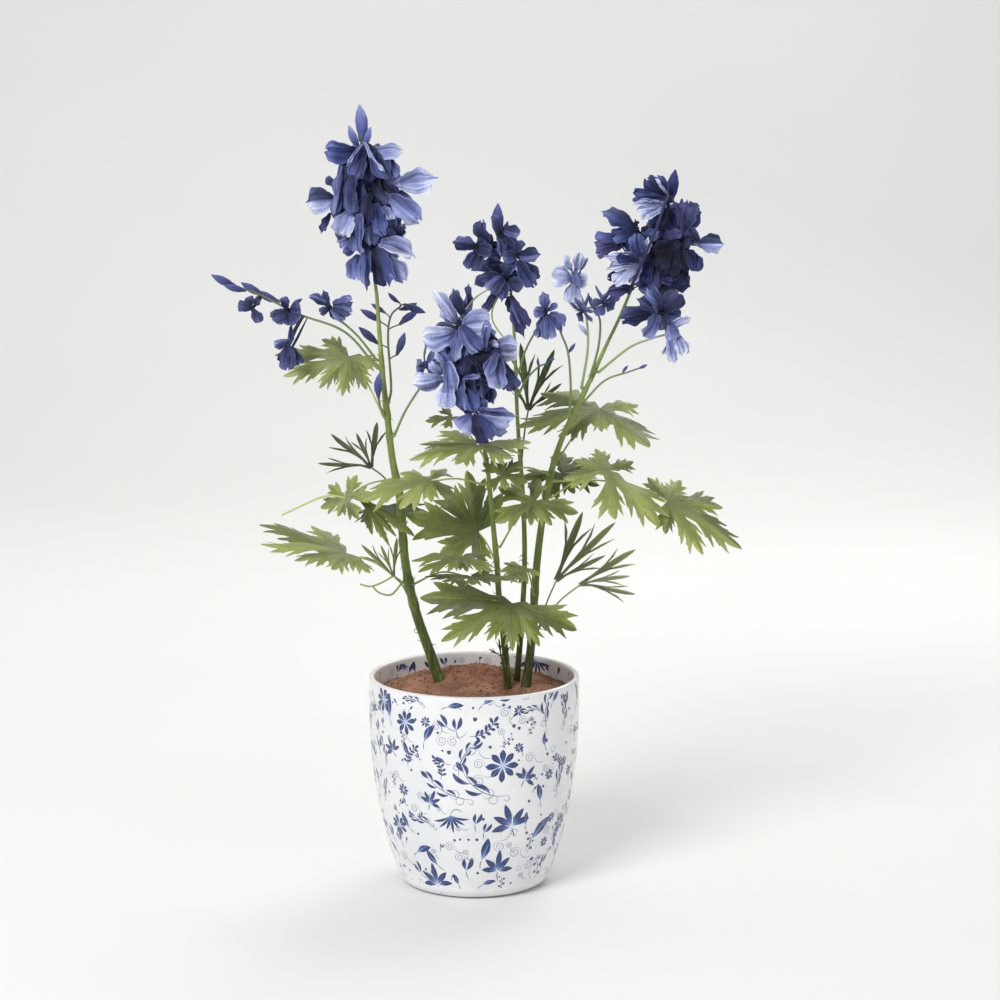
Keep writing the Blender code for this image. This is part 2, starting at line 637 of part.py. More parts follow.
def apply_modifiers(thing):
    """Replaces an object's mesh by what its modifiers make of it."""
    bpy.context.view_layer.update()
    graph = bpy.context.evaluated_depsgraph_get()
    made = bpy.data.meshes.new_from_object(thing.evaluated_get(graph))
    thing.modifiers.clear()
    thing.data = made


def keep_one_body(thing):
    """Drops what the union leaves besides the body itself: sealed hollows and loose scraps."""
    work = bmesh.new()
    work.from_mesh(thing.data)
    bodies, seen = [], set()
    for start in work.verts:
        if start in seen:
            continue
        body, front = [], [start]
        seen.add(start)
        while front:
            corner = front.pop()
            body.append(corner)
            for edge in corner.link_edges:
                other = edge.other_vert(corner)
                if other not in seen:
                    seen.add(other)
                    front.append(other)
        bodies.append(body)
    bodies.sort(key=len)
    for body in bodies[:-1]:
        if len(body) > 16:
            print(f"{thing.name} drops a piece of {len(body)} corners")
        bmesh.ops.delete(work, geom=body, context="VERTS")
    work.to_mesh(thing.data)
    work.free()


def turned(name, profile, sides):
    """A solid of revolution from (radius, height) pairs in metres that start and end on the axis."""
    work = bmesh.new()
    corners = [work.verts.new((radius, 0, height)) for radius, height in profile]
    edges = [work.edges.new(pair) for pair in zip(corners, corners[1:])]
    bmesh.ops.spin(work, geom=corners + edges, cent=(0, 0, 0), axis=(0, 0, 1), angle=2 * math.pi, steps=sides,
                   use_merge=True)
    bmesh.ops.remove_doubles(work, verts=work.verts, dist=1e-6)
    bmesh.ops.recalc_face_normals(work, faces=work.faces)
    mesh = bpy.data.meshes.new(name)
    work.to_mesh(mesh)
    work.free()
    return mesh


def pot_radius(height):
    """The pot's outer radius at a height, both in millimetres."""
    share = min(max(height / POT_HEIGHT, 0.0), 1.0)
    return WAIST_RADIUS + (RIM_RADIUS - WAIST_RADIUS) * (1 - (1 - share) ** BELLY_POWER)


def pot_profile():
    """The pot's section: flat foot, rounded heel, bellied wall, rounded lip, inner wall and floor."""
    profile = [(FOOT_RADIUS, 0)]
    heel = pot_radius(FOOT_ROUND)
    for angle in (math.radians(40), math.radians(90)):
        radius = FOOT_RADIUS + (heel - FOOT_RADIUS) * math.sin(angle)
        profile.append((radius, FOOT_ROUND * (1 - math.cos(angle))))
    climb = POT_HEIGHT - WALL / 2 - FOOT_ROUND
    wall = [FOOT_ROUND + climb * k / WALL_RINGS for k in range(1, WALL_RINGS + 1)]
    profile += [(pot_radius(z), z) for z in wall]
    middle = pot_radius(wall[-1]) - WALL / 2
    for k in range(1, 4):
        angle = math.radians(45 * k)
        profile.append((middle + WALL / 2 * math.cos(angle), wall[-1] + WALL / 2 * math.sin(angle)))
    profile += [(pot_radius(z) - WALL, z) for z in reversed(wall[::2])]
    profile.append((heel - WALL - HEEL_INSET, FLOOR))
    return [(radius * MM, height * MM) for radius, height in profile]


def make_pot(material):
    """The pot, with a flat base whose middle is the origin."""
    profile = pot_profile()
    mesh = turned("pot", [(0, 0)] + profile + [(0, profile[-1][1])], POT_SIDES)
    pot = add_object("pot", mesh, material)
    mesh.shade_smooth()
    mesh.set_sharp_from_angle(angle=math.radians(SHARP_ANGLE))
    return pot


def soil_height(x, y):
    """The soil's surface in millimetres: nearly level, with a heap towards the back."""
    heap = MOUND_HEIGHT * math.exp(-(x * x + (y - MOUND_BACK) ** 2) / (2 * MOUND_SPREAD ** 2))
    ripple = RIPPLE_HEIGHT * math.sin(x * 0.16 + 1.0) * math.cos(y * 0.13)
    return SOIL_LEVEL + heap + ripple


def make_soil(material):
    """The soil, which fills the pot and has a plain hole for each stem."""
    section = [(radius / MM, height / MM) for radius, height in pot_profile()]
    lip = section.index(max(section, key=lambda p: p[1]))
    inner = section[lip + 2:]
    above = next(k for k, (_, height) in enumerate(inner) if height < SOIL_LEVEL)
    (high_radius, high), (low_radius, low) = inner[above - 1], inner[above]
    edge = low_radius + (high_radius - low_radius) * (SOIL_LEVEL - low) / (high - low) - SOIL_EDGE_GAP
    points, faces = [], []

    def ring(radius, height):
        start = len(points)
        for n in range(POT_SIDES):
            angle = 2 * math.pi * n / POT_SIDES
            x, y = radius * math.cos(angle), radius * math.sin(angle)
            points.append(Vector((x, y, soil_height(x, y) if height is None else height)) * MM)
        return start

    rings = [ring(radius - CLEARANCE, height + CLEARANCE) for radius, height in reversed(inner[above:])]
    rings += [ring(edge * share, None) for share in SOIL_RINGS]
    faces.append(tuple(rings[0] + n for n in range(POT_SIDES)))
    for lower, upper in zip(rings, rings[1:]):
        for n in range(POT_SIDES):
            m = (n + 1) % POT_SIDES
            faces.append((lower + n, lower + m, upper + m, upper + n))
    points.append(Vector((0, 0, soil_height(0, 0))) * MM)
    faces += [(rings[-1] + n, rings[-1] + (n + 1) % POT_SIDES, len(points) - 1) for n in range(POT_SIDES)]
    soil = add_object("soil", mesh_of("soil", points, faces), material)
    for name, stem in STEMS.items():
        foot, ahead = stem_foot(stem)
        ends = [foot - ahead * HOLE_BELOW * MM, foot + ahead * 2.5 * HOLE_DEPTH * MM]
        hole = tube(name + "_hole", ends, [(stem.thick + HOLE_PLAY) * MM] * 2, HOLE_SIDES)
        cutter = add_object(name + "_hole", hole)
        cutter.hide_render = True
        cutter.display_type = "WIRE"
        cut = soil.modifiers.new(name, "BOOLEAN")
        cut.operation = "DIFFERENCE"
        cut.object = cutter
    apply_modifiers(soil)
    for thing in [o for o in bpy.data.objects if o.name.endswith("_hole")]:
        bpy.data.objects.remove(thing)
    return soil


def stem_foot(stem):
    """Where a stem ends under the soil, and the direction in which it rises."""
    first, second = in_metres(stem.line[:2])
    ahead = (second - first).normalized()
    return first - ahead * HOLE_DEPTH * MM, ahead


def stem_line(stem):
    """The points of a stem from its foot up."""
    foot, _ = stem_foot(stem)
    return [foot] + smooth_line(in_metres(stem.line), 2)


def stem_at(stem, height):
    """A stem's centre, radius and direction at a height in millimetres."""
    points = stem_line(stem)
    for k, (low, high) in enumerate(zip(points, points[1:])):
        if low.z <= height * MM <= high.z:
            share = (height * MM - low.z) / (high.z - low.z)
            radius = stem.thick + (stem.thin - stem.thick) * (k + share) / (len(points) - 1)
            return low.lerp(high, share), radius * MM, (high - low).normalized()
    raise ValueError(f"no stem there at {height} mm")


def make_stem(name, material):
    """One stem, from its foot in the soil to the spray it carries."""
    stem = STEMS[name]
    radii = (stem.thick * MM, stem.thin * MM)
    return add_object(name, tube(name, stem_line(stem), radii, STEM_SIDES), material)


def seat(name, height, toward, radius):
    """The first two points of a side stalk of a radius: just clear of its stem, then straight out from it."""
    centre, thick, ahead = stem_at(STEMS[name], height)
    away = toward - centre
    out = (away - ahead * away.dot(ahead)).normalized()
    start = centre + out * (thick + CLEARANCE * MM)
    return [start, start + (out + 0.25 * ahead) * 2 * radius]


def make_leaf(name, material):
    """One leaf: its blade, and the stalk from just clear of its stem to its hub."""
    leaf = LEAVES[name]
    frame = leaf_frame(leaf)
    points, faces = leaf_blade(leaf)
    open_side = sum((points[i] for i in faces[0]), Vector()) / 3
    under = frame @ (open_side - UP * 1.6 * LEAF_THICK * MM)
    end = frame @ (open_side - UP * 0.4 * LEAF_THICK * MM)
    root = seat(leaf.stem, leaf.joins, under, STALK_RADIUS * MM)
    middle = root[1].lerp(under, 0.5) + UP * (0.08 * (under - root[1]).length)
    line = [root[0]] + smooth_line([root[1], middle, under], 2) + [end]
    stalk = tube(name, line, (STALK_RADIUS * MM, 0.8 * STALK_RADIUS * MM), STALK_SIDES)
    meshes = [stalk, placed(name, (points, faces), frame)]
    for bare in BARE_STALKS.get(name, ()):
        path = in_metres(bare)
        path.insert(0, nearest(line, path[0]))
        radii = (0.8 * STALK_RADIUS * MM, 0.6 * STALK_RADIUS * MM)
        meshes.append(tube(name, smooth_line(path, 2), radii, STALK_SIDES))
    return fuse(name, meshes, material)


def nearest(line, point):
    """The point of a line of points that is nearest to a point."""
    best = None
    for low, high in zip(line, line[1:]):
        span = high - low
        share = min(max((point - low).dot(span) / span.length_squared, 0.0), 1.0)
        spot = low + span * share
        if best is None or (spot - point).length < (best - point).length:
            best = spot
    return best


def make_spray(name, material, seed):
    """One spray: its line, and a stalk with a flower or a bud for each that it carries, fused together."""
    spray = SPRAYS[name]
    draw = random.Random(seed)
    points = in_metres(spray.line)
    if spray.joins is None:
        top, below = (Vector(p) * MM for p in (STEMS[spray.stem].line[-1], STEMS[spray.stem].line[-2]))
        points.insert(0, top + (top - below).normalized() * CLEARANCE * MM)
        line = smooth_line(points, 2)
    else:
        root = seat(spray.stem, spray.joins, points[0], spray.thick * MM)
        line = [root[0]] + smooth_line([root[1]] + points, 2)
    meshes = [tube(name, line, (spray.thick * MM, spray.thin * MM), TWIG_SIDES)]
    for centre, width, turn, nod, roll in spray.flowers:
        width *= MM
        frame = flower_frame(Vector(centre) * MM, turn, nod, math.radians(roll))
        back = frame @ Vector((0, 0, -0.2 * width))
        reach = (back - nearest(line, back)).length
        start = nearest(line, back - UP * 0.6 * reach)
        local = frame.inverted()
        stalk = [local @ (start.lerp(back, 0.55) + UP * 0.06 * reach), local @ start]
        meshes.append(placed(name, floret(width, draw, stalk), frame))
    for root, tip in spray.buds:
        root, tip = Vector(root) * MM, Vector(tip) * MM
        start = nearest(line, root - UP * 0.5 * (root - nearest(line, root)).length)
        meshes.append(placed(name, bud(start, root, tip), Matrix()))
    return fuse(name, meshes, material)


def main():
    """Builds every node."""
    clear_scene()
    make_pot(finish_of("pot", "white glaze"))
    make_soil(finish_of("soil", "brown soil"))
    for name in STEMS:
        make_stem(name, finish_of(name, "stem shade" if name == "stem_back" else "stem green"))
    for name in LEAVES:
        make_leaf(name, finish_of(name, tone(name, DARK_LEAVES, PALE_LEAVES, "leaf")))
    for seed, name in enumerate(SPRAYS):
        make_spray(name, finish_of(name, tone(name, DARK_FLOWERS, PALE_FLOWERS, "petal")), seed + 1)


if __name__ in ("__main__", "part"):
    main()
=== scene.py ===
"""Dresses the potted delphinium: veined petals and leaves, ridged stems, crumbly soil and a glazed pot.

Every piece stands for the solids of the same name, from the same lines, hubs and flower centres. They are in
millimetres as (right, back, up) from the middle of the pot's base. Petals, hearts, slim stalks and motifs are
given in the photo's pixels, and PHOTO turns them into millimetres. Angles are in degrees.
"""
import logging
import math
import random
from collections.abc import Callable, Iterable, Sequence
from dataclasses import dataclass, field
from enum import Enum

import bpy
from mathutils import Matrix, Vector, noise


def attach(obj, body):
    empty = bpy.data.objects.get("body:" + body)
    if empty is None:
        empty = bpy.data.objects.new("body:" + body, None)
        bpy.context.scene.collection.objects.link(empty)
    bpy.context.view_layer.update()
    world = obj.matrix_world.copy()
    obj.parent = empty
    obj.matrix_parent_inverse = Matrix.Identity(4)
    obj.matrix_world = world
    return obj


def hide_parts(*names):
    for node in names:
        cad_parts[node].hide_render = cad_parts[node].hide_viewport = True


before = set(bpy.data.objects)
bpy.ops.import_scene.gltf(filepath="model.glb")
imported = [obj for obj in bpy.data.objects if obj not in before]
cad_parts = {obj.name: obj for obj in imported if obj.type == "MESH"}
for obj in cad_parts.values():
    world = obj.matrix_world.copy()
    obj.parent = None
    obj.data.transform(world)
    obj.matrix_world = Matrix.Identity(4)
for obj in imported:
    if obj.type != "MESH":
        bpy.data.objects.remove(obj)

LOG = logging.getLogger("delphinium")
MM = 0.001
UP = Vector((0, 0, 1))
BODY = "root"
WELD = 2e-6
SHARP_ANGLE = math.radians(62)

Colour = tuple[float, float, float]
Triple = tuple[float, float, float]
Stops = Sequence[tuple[float, Colour]]


def ink(code: str) -> Colour:
    """A linear colour from its six-figure screen code.

    Args:
        code: the red, green and blue parts as pairs of hexadecimal figures.

    Returns:
        The colour as three linear shares.
    """
    parts = [int(code[k:k + 2], 16) / 255 for k in (0, 2, 4)]
    return tuple(p / 12.92 if p <= 0.04045 else ((p + 0.055) / 1.055) ** 2.4 for p in parts)


def smooth(low: float, high: float, value: float) -> float:
    """The share from 0 at low to 1 at high, eased at both ends."""
    share = min(max((value - low) / (high - low), 0.0), 1.0)
    return share * share * (3 - 2 * share)


def blend(first: Colour, second: Colour, share: float) -> Colour:
    """The colour at a share of the way from the first to the second."""
    return tuple(a + (b - a) * share for a, b in zip(first, second))


def along_stops(stops: Stops, place: float) -> Colour:
    """The colour at a place on a run of (place, colour) stops."""
    for (low, first), (high, second) in zip(stops, stops[1:]):
        if place <= high:
            return blend(first, second, min(max((place - low) / (high - low), 0.0), 1.0))
    return stops[-1][1]


def level_at(stops: Sequence[tuple[float, float]], place: float) -> float:
    """The value at a place on a run of (place, value) stops, with eased steps between them."""
    for (low, first), (high, second) in zip(stops, stops[1:]):
        if place <= high:
            return first + (second - first) * smooth(low, high, place)
    return stops[-1][1]


def curve_point(points: Sequence[Vector], share: float) -> Vector:
    """A point on the smooth curve through points.

    Args:
        points: the points that the curve passes through.
        share: the place along it, from 0 to 1.

    Returns:
        The point there.
    """
    spans = len(points) - 1
    place = min(max(share, 0.0), 1.0) * spans
    k = min(int(place), spans - 1)
    t = place - k
    before = points[k - 1] if k else points[0] * 2 - points[1]
    after = points[k + 2] if k + 2 <= spans else points[spans] * 2 - points[spans - 1]
    start, end = points[k], points[k + 1]
    return 0.5 * (
        2 * start
        + (end - before) * t
        + (2 * before - 5 * start + 4 * end - after) * t * t
        + (3 * start - before - 3 * end + after) * t ** 3
    )


def smooth_line(points: Sequence[Vector], steps: int) -> list[Vector]:
    """Points along the smooth curve through points, steps to each span."""
    count = (len(points) - 1) * steps
    return [curve_point(points, k / count) for k in range(count + 1)]


def in_metres(points: Iterable[Triple]) -> list[Vector]:
    """Millimetre triples as vectors in metres."""
    return [Vector(p) * MM for p in points]


def nearest(line: Sequence[Vector], point: Vector) -> Vector:
    """The point of a line of points that is nearest to a point."""
    spots = []
    for low, high in zip(line, line[1:]):
        span = high - low
        share = min(max((point - low).dot(span) / span.length_squared, 0.0), 1.0)
        spots.append(low + span * share)
    return min(spots, key=lambda spot: (spot - point).length)


@dataclass(frozen=True)
class Photo:
    """The photo's camera: where it stands in millimetres, its pitch in degrees, and its lens in pixels."""

    right: float = 18.4
    back: float = -1930.0
    up: float = 595.6
    pitch: float = 9.4
    lens: float = 2777.8
    middle: float = 500.0

    def place(self, column: float, row: float, back: float) -> Triple:
        """The point that a pixel shows, to the nearest millimetre.

        Args:
            column: the pixel's place from the photo's left edge.
            row: its place from the top edge.
            back: how far back the point lies, in millimetres.

        Returns:
            The point in millimetres.
        """
        sine, cosine = math.sin(math.radians(self.pitch)), math.cos(math.radians(self.pitch))
        across, rise = (column - self.middle) / self.lens, (self.middle - row) / self.lens
        reach = (back - self.back) / (cosine + sine * rise)
        return round(self.right + across * reach), back, round(self.up + (cosine * rise - sine) * reach)

    def pixel(self, x: float, y: float, z: float) -> tuple[float, float]:
        """The column and row of the pixel that shows a point in millimetres."""
        sine, cosine = math.sin(math.radians(self.pitch)), math.cos(math.radians(self.pitch))
        right, back, up = x - self.right, y - self.back, z - self.up
        reach = back * cosine - up * sine
        return (self.middle + self.lens * right / reach,
                self.middle - self.lens * (back * sine + up * cosine) / reach)


PHOTO = Photo()


def facing(out: Vector, centre: Vector) -> Matrix:
    """The place of a flower at a centre: its face out, its top as near to upright as it can be."""
    right = UP.cross(out).normalized()
    return Matrix.Translation(centre) @ Matrix((right, out.cross(right), out)).transposed().to_4x4()


class Body:
    """A piece in the making: corners with a tint and a grain, and the faces between them.

    A corner's grain is (along, across, veins): its place on its petal or leaf, and how strongly veins show.
    """

    def __init__(self) -> None:
        self.points: list[Vector] = []
        self.tints: list[Colour] = []
        self.grains: list[Triple] = []
        self.faces: list[tuple[int, ...]] = []

    def corner(self, point: Vector, tint: Colour, grain: Triple = (0.0, 0.0, 0.0)) -> int:
        """Adds a corner and gives its number."""
        self.points.append(Vector(point))
        self.tints.append(tint)
        self.grains.append(grain)
        return len(self.points) - 1

    def tube(self, line: Sequence[Vector], radius: Callable[[float], float], tint: Callable[[float], Colour],
             sides: int = 8, ridge: float = 0.0) -> None:
        """Adds a closed tube.

        Args:
            line: its centre line.
            radius: its radius at a share of the line.
            tint: its colour at a share of the line.
            sides: its corners around.
            ridge: how far every other corner stands out, as a share of the radius.
        """
        rings: list[list[int]] = []
        side = None
        last = len(line) - 1
        for k, centre in enumerate(line):
            ahead = (line[min(k + 1, last)] - line[max(k - 1, 0)]).normalized()
            side = ahead.orthogonal() if side is None else side - ahead * side.dot(ahead)
            side.normalize()
            across = ahead.cross(side)
            share = k / last
            ring = []
            for n in range(sides):
                angle = 2 * math.pi * n / sides
                reach = radius(share) * (1 + ridge * (n % 2))
                out = side * math.cos(angle) + across * math.sin(angle)
                ring.append(self.corner(centre + out * reach, tint(share), (share, 0.0, 0.0)))
            rings.append(ring)
        self.skin(rings)

    def skin(self, rings: Sequence[Sequence[int]]) -> None:
        """Adds the faces between rings of corners, and closes the first and the last ring."""
        sides = len(rings[0])
        for low, high in zip(rings, rings[1:]):
            for n in range(sides):
                m = (n + 1) % sides
                self.faces.append((low[n], low[m], high[m], high[n]))
        self.faces.append(tuple(reversed(rings[0])))
        self.faces.append(tuple(rings[-1]))

    def lathe(self, profile: Sequence[tuple[float, float]], sides: int, tint: Colour) -> None:
        """Adds a solid of revolution from (radius, height) pairs in metres, closed at both ends."""
        rings = []
        for radius, height in profile:
            turns = [2 * math.pi * n / sides for n in range(sides)]
            rings.append([self.corner(Vector((radius * math.cos(a), radius * math.sin(a), height)), tint)
                          for a in turns])
        self.skin(rings)

    def build(self, name: str, material: bpy.types.Material, nodes: Sequence[str],
              slot: str) -> bpy.types.Object:
        """Makes the piece, on its body and in place of its nodes.

        Args:
            name: the piece's name.
            material: its finish.
            nodes: the solids that it stands for.
            slot: not used.

        Returns:
            The finished object.
        """
        mesh = bpy.data.meshes.new(name)
        mesh.from_pydata([tuple(p) for p in self.points], [], self.faces)
        tint = mesh.attributes.new("tint", "FLOAT_COLOR", "POINT")
        tint.data.foreach_set("color", [c for t in self.tints for c in (*t, 1.0)])
        grain = mesh.attributes.new("grain", "FLOAT_VECTOR", "POINT")
        grain.data.foreach_set("vector", [c for g in self.grains for c in g])
        mesh.materials.append(material)
        mesh.validate()
        mesh.shade_smooth()
        mesh.set_sharp_from_angle(angle=SHARP_ANGLE)
        thing = bpy.data.objects.new(name, mesh)
        bpy.context.scene.collection.objects.link(thing)
        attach(thing, BODY)
        if nodes:
            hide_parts(*nodes)
        LOG.info("%s: %d faces, in place of %s", name, len(mesh.polygons), ", ".join(nodes) or "none")
        return thing


class Sheet:
    """A thin surface in the making, welded where its corners meet and closed into a shell at the end."""

    def __init__(self) -> None:
        self.points: list[Vector] = []
        self.tints: list[Colour] = []
        self.grains: list[Triple] = []
        self.faces: list[tuple[int, ...]] = []
        self.welds: dict[tuple[int, ...], int] = {}

    def corner(self, point: Vector, tint: Colour, grain: Triple) -> int:
        """Adds a corner, or gives the one that is already there."""
        key = tuple(round(c / WELD) for c in point)
        if key not in self.welds:
            self.welds[key] = len(self.points)
            self.points.append(Vector(point))
            self.tints.append(tint)
            self.grains.append(grain)
        return self.welds[key]

    def face(self, corners: Sequence[int]) -> None:
        """Adds a face, unless welding leaves it fewer than three corners."""
        ring = list(dict.fromkeys(corners))
        if len(ring) > 2:
            self.faces.append(tuple(ring))

    def grid(self, rows: Sequence[Sequence[int]], flip: bool = False) -> None:
        """Adds the faces between rows of corners."""
        for low, high in zip(rows, rows[1:]):
            for k in range(len(low) - 1):
                ring = (low[k], high[k], high[k + 1], low[k + 1])
                self.face(ring if flip else ring[::-1])

    def shell(self, body: Body, place: Matrix, thickness: float, back: float = 0.8) -> None:
        """Closes the sheet and adds it to a piece.

        Args:
            body: the piece.
            place: where the sheet lies in it.
            thickness: the shell's thickness in metres.
            back: how bright the underside is beside the upper side, a painted shade for the side turned from
                the light.
        """
        normals = [Vector() for _ in self.points]
        for face in self.faces:
            a, b, c = (self.points[i] for i in face[:3])
            normal = (b - a).cross(c - a)
            for i in face:
                normals[i] += normal
        start = len(body.points)
        count = len(self.points)
        for point, tint, grain in zip(self.points, self.tints, self.grains):
            body.corner(place @ point, tint, grain)
        # The underside is darkened by back, a painted shade.
        for point, normal, tint, grain in zip(self.points, normals, self.tints, self.grains):
            below = point - normal.normalized() * thickness
            body.corner(place @ below, tuple(c * back for c in tint), grain)
        edges = {(a, b) for face in self.faces for a, b in zip(face, face[1:] + face[:1])}
        for face in self.faces:
            body.faces.append(tuple(start + i for i in face))
            body.faces.append(tuple(start + count + i for i in reversed(face)))
        for a, b in sorted(edges):
            if (b, a) not in edges:
                body.faces.append((start + b, start + a, start + count + a, start + count + b))


class Wiring:
    """A Principled material and the short calls that wire its nodes."""

    def __init__(self, name: str, roughness: float) -> None:
        self.material = bpy.data.materials.new(name)
        self.material.use_nodes = True
        self.tree = self.material.node_tree
        self.shader = self.tree.nodes["Principled BSDF"]
        self.set("Roughness", roughness)

    def set(self, socket: str, value: object) -> None:
        """Sets a socket of the shader, or links another node's socket to it."""
        self.feed(self.shader.inputs[socket], value)

    def feed(self, socket: bpy.types.NodeSocket, value: object) -> None:
        """Sets a socket to a plain value, or links another node's socket to it."""
        if isinstance(value, bpy.types.NodeSocket):
            self.tree.links.new(value, socket)
        elif isinstance(value, tuple):
            socket.default_value = (*value, 1.0)[:len(socket.default_value)]
        else:
            socket.default_value = value

    def math(self, operation: str, first: object, second: object = 0.0) -> bpy.types.NodeSocket:
        """A sum, product or other step on one or two numbers."""
        node = self.tree.nodes.new("ShaderNodeMath")
        node.operation = operation
        self.feed(node.inputs[0], first)
        self.feed(node.inputs[1], second)
        return node.outputs[0]

    def ease(self, value: object, low: float, high: float, start: float = 0.0,
             end: float = 1.0) -> bpy.types.NodeSocket:
        """A number eased from start to end as value goes from low to high."""
        node = self.tree.nodes.new("ShaderNodeMapRange")
        node.interpolation_type = "SMOOTHSTEP"
        for socket, setting in zip(node.inputs, (value, low, high, start, end)):
            self.feed(socket, setting)
        return node.outputs[0]

    def mix(self, share: object, first: object, second: object, way: str = "MIX") -> bpy.types.NodeSocket:
        """Two colours mixed by a share."""
        node = self.tree.nodes.new("ShaderNodeMix")
        node.data_type = "RGBA"
        node.blend_type = way
        self.feed(node.inputs[0], share)
        self.feed(node.inputs[6], first)
        self.feed(node.inputs[7], second)
        return node.outputs[2]

    def tint(self) -> bpy.types.NodeSocket:
        """The colour that the mesh carries."""
        node = self.tree.nodes.new("ShaderNodeAttribute")
        node.attribute_name = "tint"
        return node.outputs["Color"]

    def grain(self) -> Sequence[bpy.types.NodeSocket]:
        """The mesh's place along and across its petal or leaf, and how strongly veins show."""
        node = self.tree.nodes.new("ShaderNodeAttribute")
        node.attribute_name = "grain"
        parts = self.tree.nodes.new("ShaderNodeSeparateXYZ")
        self.tree.links.new(node.outputs["Vector"], parts.inputs[0])
        return parts.outputs

    def noise(self, size: float, detail: float = 3.0,
              stretch: Triple = (1.0, 1.0, 1.0)) -> bpy.types.NodeSocket:
        """Cloudy variation whose patches are about size metres across."""
        place = self.tree.nodes.new("ShaderNodeTexCoord")
        scaled = self.tree.nodes.new("ShaderNodeMapping")
        scaled.inputs["Scale"].default_value = stretch
        self.tree.links.new(place.outputs["Object"], scaled.inputs[0])
        node = self.tree.nodes.new("ShaderNodeTexNoise")
        self.tree.links.new(scaled.outputs[0], node.inputs["Vector"])
        node.inputs["Scale"].default_value = 1 / size
        node.inputs["Detail"].default_value = detail
        return node.outputs["Fac"]

    def bump(self, height: object, distance: float, strength: float = 1.0) -> None:
        """Raises the surface by up to distance metres where height is 1."""
        node = self.tree.nodes.new("ShaderNodeBump")
        node.inputs["Strength"].default_value = strength
        node.inputs["Distance"].default_value = distance
        self.feed(node.inputs["Height"], height)
        self.set("Normal", node.outputs[0])


@dataclass(frozen=True)
class PetalFinish:
    """Soft matt petal skin: the mesh's tint, with fine darker veins that run from the claw to the margin."""

    name: str = "petal"
    roughness: float = 0.62
    vein_count: float = 6.0
    vein_strength: float = 0.5
    vein_colour: Colour = ink("2e3670")

    def material(self) -> bpy.types.Material:
        """Makes the material."""
        wiring = Wiring(self.name, self.roughness)
        along, across, veins = wiring.grain()
        wander = wiring.noise(0.004, 2.0)
        spread = wiring.math("MULTIPLY", across, self.vein_count)
        lines = wiring.math("PINGPONG", wiring.math("ADD", spread, wander), 0.5)
        thin = wiring.ease(lines, 0.0, 0.11, 1.0, 0.0)
        fade = wiring.ease(along, 0.55, 1.0, 1.0, 0.25)
        share = wiring.math("MULTIPLY", wiring.math("MULTIPLY", thin, fade), veins)
        share = wiring.math("MULTIPLY", share, self.vein_strength)
        mottle = wiring.ease(wiring.noise(0.0016, 4.0), 0.3, 0.7, 0.86, 1.08)
        patches = wiring.mix(1.0, wiring.tint(), mottle, "MULTIPLY")
        wiring.set("Base Color", wiring.mix(share, patches, self.vein_colour))
        wiring.set("Sheen Weight", 0.08)
        wiring.set("Sheen Roughness", 0.4)
        wiring.set("Specular IOR Level", 0.35)
        wiring.bump(wiring.math("SUBTRACT", wiring.noise(0.0009, 3.0), share), 0.00022)
        return wiring.material


@dataclass(frozen=True)
class LeafFinish:
    """Satin leaf skin: the mesh's tint, a paler rib and side veins, and a mottle of darker green."""

    name: str = "leaf"
    roughness: float = 0.48
    vein_colour: Colour = ink("b9c67c")
    vein_strength: float = 0.18
    shade: Colour = ink("6f8238")

    def material(self) -> bpy.types.Material:
        """Makes the material."""
        wiring = Wiring(self.name, self.roughness)
        side, across, veins = wiring.grain()
        rib = wiring.ease(across, 0.0, 0.10, 1.0, 0.0)
        branch = wiring.ease(side, 0.72, 1.0, 0.0, 0.7)
        line = wiring.math("MULTIPLY", wiring.math("MAXIMUM", rib, branch), veins)
        mottle = wiring.ease(wiring.noise(0.006, 5.0), 0.35, 0.75, 0.0, 0.30)
        green = wiring.mix(wiring.math("MULTIPLY", mottle, veins), wiring.tint(), self.shade)
        fine = wiring.ease(wiring.noise(0.0011, 3.0), 0.3, 0.7, 0.90, 1.08)
        green = wiring.mix(1.0, green, fine, "MULTIPLY")
        share = wiring.math("MULTIPLY", line, self.vein_strength)
        wiring.set("Base Color", wiring.mix(share, green, self.vein_colour))
        wiring.set("Specular IOR Level", 0.45)
        wiring.set("Roughness", wiring.ease(wiring.noise(0.003, 3.0), 0.2, 0.8, 0.40, 0.58))
        wiring.bump(wiring.math("SUBTRACT", wiring.noise(0.0014, 4.0), line), 0.00022)
        return wiring.material


@dataclass(frozen=True)
class StemFinish:
    """Satin stem skin, streaked along its length."""

    name: str = "stem"
    roughness: float = 0.42
    streak: Colour = ink("93a34e")

    def material(self) -> bpy.types.Material:
        """Makes the material."""
        wiring = Wiring(self.name, self.roughness)
        streaks = wiring.ease(wiring.noise(0.0022, 4.0, (1.0, 1.0, 0.08)), 0.45, 0.72, 0.0, 0.42)
        patches = wiring.ease(wiring.noise(0.012, 3.0), 0.35, 0.7, 0.75, 1.15)
        green = wiring.mix(1.0, wiring.tint(), patches, "MULTIPLY")
        wiring.set("Base Color", wiring.mix(streaks, green, self.streak))
        wiring.set("Specular IOR Level", 0.5)
        wiring.bump(wiring.noise(0.0012, 4.0, (1.0, 1.0, 0.12)), 0.00018)
        return wiring.material


